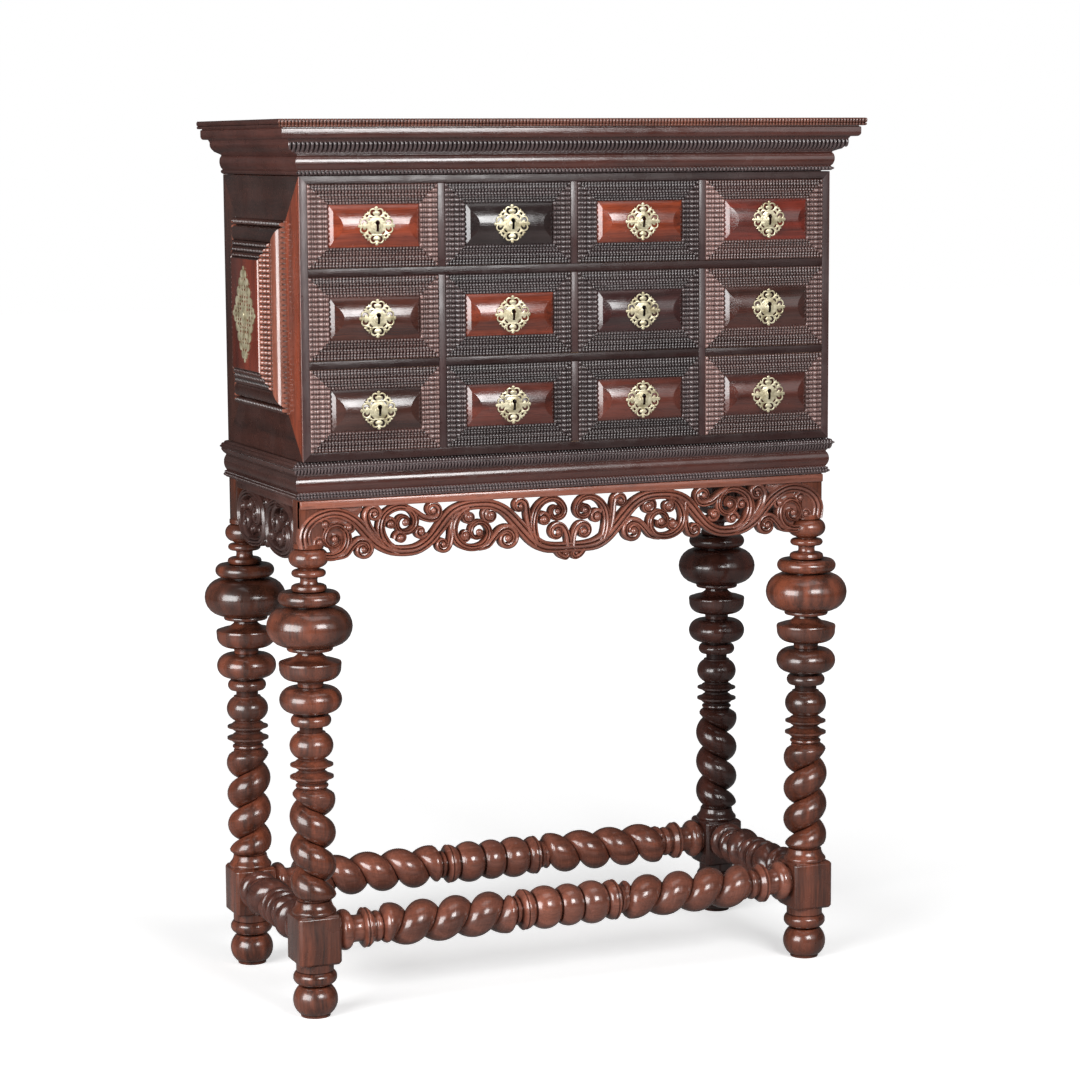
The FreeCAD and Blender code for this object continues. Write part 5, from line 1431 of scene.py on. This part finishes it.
def make_side(side):
    """The moulding, field and band of one side, built facing -Y and turned to the side."""
    word = "left" if side < 0 else "right"
    wide, tall = SIDE_FRAME_WIDE, SIDE_FRAME_TALL
    levels, uprights = mitred_frame(SIDE_SECTION, wide, tall, 4, 8, 8)
    edge_x, edge_z = wide / 2 - SIDE_MOULDING_WIDE, tall / 2 - SIDE_MOULDING_WIDE
    field = block(f"side_{word}_field", (-edge_x, -SIDE_FIELD_RISE, -edge_z), (edge_x, 0, edge_z),
                  1.2, 2)
    level = join(f"side_{word}_level_moulding", levels)
    upright = join(f"side_{word}_upright_moulding", uprights)
    bands = make_bands()
    for things, x in (((level, upright, field), HALF_WIDTH), (bands, HALF_WIDTH + 0.2)):
        for thing in things:
            turn(thing, 90 * side, "Z")
            move(thing, side * x, CASE_MIDDLE_Y, CASE_MIDDLE_Z)
    level_band = join(f"side_{word}_level_band", bands[:2])
    rear, front = bands[2:] if side < 0 else bands[:1:-1]
    front.name, rear.name = f"side_{word}_front_band", f"side_{word}_rear_band"
    for thing, material, cad_node in (
        (level_band, SIDE_DARK_WOOD, "case_sides"), (front, SIDE_BAND_WOOD, "case_sides"),
        (rear, SIDE_REAR_WOOD, "case_sides"), (level, SIDE_DARK_WOOD, "side_panels"),
        (upright, SIDE_RIPPLE_WOOD, "side_panels"), (field, SIDE_FIELD_WOOD, "side_panels"),
    ):
        finish(thing, "cabinet", material, [cad_node])


MOUNT_QUARTER = (
    (0, 77), (3.8, 73), (2.2, 68.5), (8, 70.5), (13.5, 67.5), (15.2, 61.5), (12, 57), (18.5, 58),
    (24.5, 54), (25.5, 47.5), (21.5, 43), (28.5, 43.5), (34.5, 39), (35, 32), (30.5, 28),
    (37.5, 28), (43.5, 23.5), (43.8, 16.5), (39.5, 12.5), (46, 13.5), (52, 10), (53.5, 4.5),
    (57.5, 3.6), (60.5, 0),
)
MOUNT_HOLE = (
    (-4.6, -0.8), (-3.8, 2.8), (-0.6, 4.9), (3.2, 4.1), (5, 0.8), (4.1, -3), (1, -5), (-1.8, -4.1),
    (1.2, -2), (0.4, 1), (-2, 0.4),
)
MOUNT_BOSS = ((0, 9), (1.4, 9), (2, 8.2), (2.2, 7), (3.4, 4.6, 0.4), (4, 1.6, 0.2))
MOUNT_THICK, MOUNT_BOSS_ROOM = 1.4, 14
MOUNT_HOLES_WIDE, MOUNT_HOLES_TALL = 50, 68


def mount_holes():
    """Openings on a grid inside the lozenge, each turned another way, the same in all quarters."""
    holes = []
    for column in range(5):
        for row in range(6):
            x, z = 6.4 + 12.2 * column, 6 + 12 * row
            outside = x / MOUNT_HOLES_WIDE + z / MOUNT_HOLES_TALL > 1
            if outside or math.hypot(x, z) < MOUNT_BOSS_ROOM:
                continue
            angle = math.radians(60 * column + 100 * row)
            c, s = math.cos(angle), math.sin(angle)
            for flip_x in (1, -1):
                for flip_z in (1, -1):
                    holes.append([(flip_x * (x + a * c - b * s), flip_z * (z + a * s + b * c))
                                  for a, b in MOUNT_HOLE])
    return holes


def make_mount(name):
    """The pierced lozenge of a side, back face on y = 0."""
    half = list(MOUNT_QUARTER) + [(x, -z) for x, z in reversed(MOUNT_QUARTER[:-1])]
    outline = closed_line(half + [(-x, z) for x, z in reversed(half[1:-1])], 3)
    sheet = cut_sheet(f"{name}_sheet", outline, mount_holes(), MOUNT_THICK, SHEET_BEVEL)
    move(sheet, y=-MOUNT_THICK / 2)
    boss = turn(turned(f"{name}_boss", MOUNT_BOSS, 36), 90, "X")
    return join(name, [sheet, boss])


def make_sides():
    """Both sides of the case with their mounts."""
    for side, word in ((-1, "left"), (1, "right")):
        make_side(side)
        mount = make_mount(f"side_{word}_mount")
        turn(mount, 90 * side, "Z")
        move(mount, side * (HALF_WIDTH + SIDE_FIELD_RISE + 0.1), CASE_MIDDLE_Y, CASE_MIDDLE_Z)
        finish(mount, "cabinet", BRASS, ["side_mounts"], 40)


# Room, light and camera

def dress_cad():
    """Finishes for the CAD nodes that stay in view: boxes, locks, bolts, back and stand rails."""
    for name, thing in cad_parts.items():
        if thing.hide_render:
            continue
        if name.endswith("_box"):
            material = PLAIN_WOOD
        elif name.endswith(("_lock", "_bolt")):
            material = IRON
        elif name == "case_back":
            material = BACK_WOOD
        else:
            material = DARK_WOOD
        thing.data.materials.clear()
        thing.data.materials.append(material)


def make_room():
    """A pale floor that looks white from afar and keeps the shadow, and a white surrounding."""
    put_down()
    bpy.ops.mesh.primitive_plane_add(size=40, location=(0, 0, 0))
    floor = named("floor")
    made = bpy.data.materials.new("Floor")
    made.use_nodes = True
    tree = made.node_tree
    shader = tree.nodes["Principled BSDF"]
    shader.inputs["Roughness"].default_value = 0.8
    seen = node(tree, "LightPath").outputs["Is Camera Ray"]
    tree.links.new(mixed(tree, seen, (0.3, 0.3, 0.3), (0.9, 0.9, 0.9)), shader.inputs["Base Color"])
    spot = node(tree, "TexCoord").outputs["Object"]
    away = node(tree, "VectorMath", operation="LENGTH", i0=spot)
    rise = node(tree, "MapRange", Value=away.outputs["Value"], From_Min=0.6, From_Max=3.0,
                To_Min=0.5, To_Max=1.0)
    lift = node(tree, "Math", operation="MULTIPLY", i0=seen, i1=rise.outputs[0])
    shader.inputs["Emission Color"].default_value = (1, 1, 1, 1)
    tree.links.new(lift.outputs[0], shader.inputs["Emission Strength"])
    floor.data.materials.append(made)
    world = bpy.data.worlds.new("Studio")
    bpy.context.scene.world = world
    world.use_nodes = True
    tree = world.node_tree
    back = tree.nodes["Background"]
    seen = node(tree, "LightPath").outputs["Is Camera Ray"]
    strength = node(tree, "MapRange", Value=seen, To_Min=0.07, To_Max=1.0)
    back.inputs["Color"].default_value = (1, 1, 1, 1)
    tree.links.new(strength.outputs[0], back.inputs["Strength"])


def soft_light(name, place, aim, width, height, power):
    """A rectangular lamp, in metres and watts."""
    lamp = bpy.data.lights.new(name, "AREA")
    lamp.shape = "RECTANGLE"
    lamp.size, lamp.size_y, lamp.energy = width, height, power
    thing = bpy.data.objects.new(name, lamp)
    bpy.context.collection.objects.link(thing)
    thing.location = place
    thing.rotation_euler = (Vector(aim) - Vector(place)).to_track_quat("-Z", "Y").to_euler()


def make_lights():
    """Four soft lamps: front, right, left and overhead."""
    soft_light("Front softbox", (0.45, -3.2, 1.95), (0.1, 0, 1.1), 1.5, 1.15, 76)
    soft_light("Right softbox", (2.1, -2.9, 1.7), (0, 0, 1.0), 1.2, 1.6, 6)
    soft_light("Left softbox", (-3.3, -1.45, 1.4), (0, 0, 0.8), 2.8, 1.9, 150)
    soft_light("Overhead", (0.2, -0.6, 3.6), (0, 0, 0.6), 2.6, 2.0, 20)


CAMERA_PLACE = (-1.85972, -4.52074, 1.36601)
CAMERA_ANGLES = (22.6, -7.56, -0.34)
CAMERA_LENS = 98.755


def make_camera():
    """The photograph's point of view; the angles are yaw, pitch and roll."""
    yaw, pitch, roll = (math.radians(angle) for angle in CAMERA_ANGLES)
    level = math.cos(pitch)
    ahead = Vector((math.sin(yaw) * level, math.cos(yaw) * level, math.sin(pitch)))
    right = Vector((math.cos(yaw), -math.sin(yaw), 0))
    up = right.cross(ahead)
    right, up = (right * math.cos(roll) + up * math.sin(roll),
                 up * math.cos(roll) - right * math.sin(roll))
    data = bpy.data.cameras.new("Camera")
    data.sensor_width, data.lens = 36, CAMERA_LENS
    camera = bpy.data.objects.new("Camera", data)
    bpy.context.collection.objects.link(camera)
    turned_to = Matrix((right, up, -ahead)).transposed().to_4x4()
    camera.matrix_world = Matrix.Translation(CAMERA_PLACE) @ turned_to
    bpy.context.scene.camera = camera


bpy.context.scene.view_settings.view_transform = "Standard"
put_down()
make_camera()
make_room()
make_lights()
make_legs()
make_stretchers()
make_cornice()
make_stand_moulding()
make_aprons()
make_case()
make_dividers()
make_sides()
make_drawer_fronts()
dress_cad()
put_down()
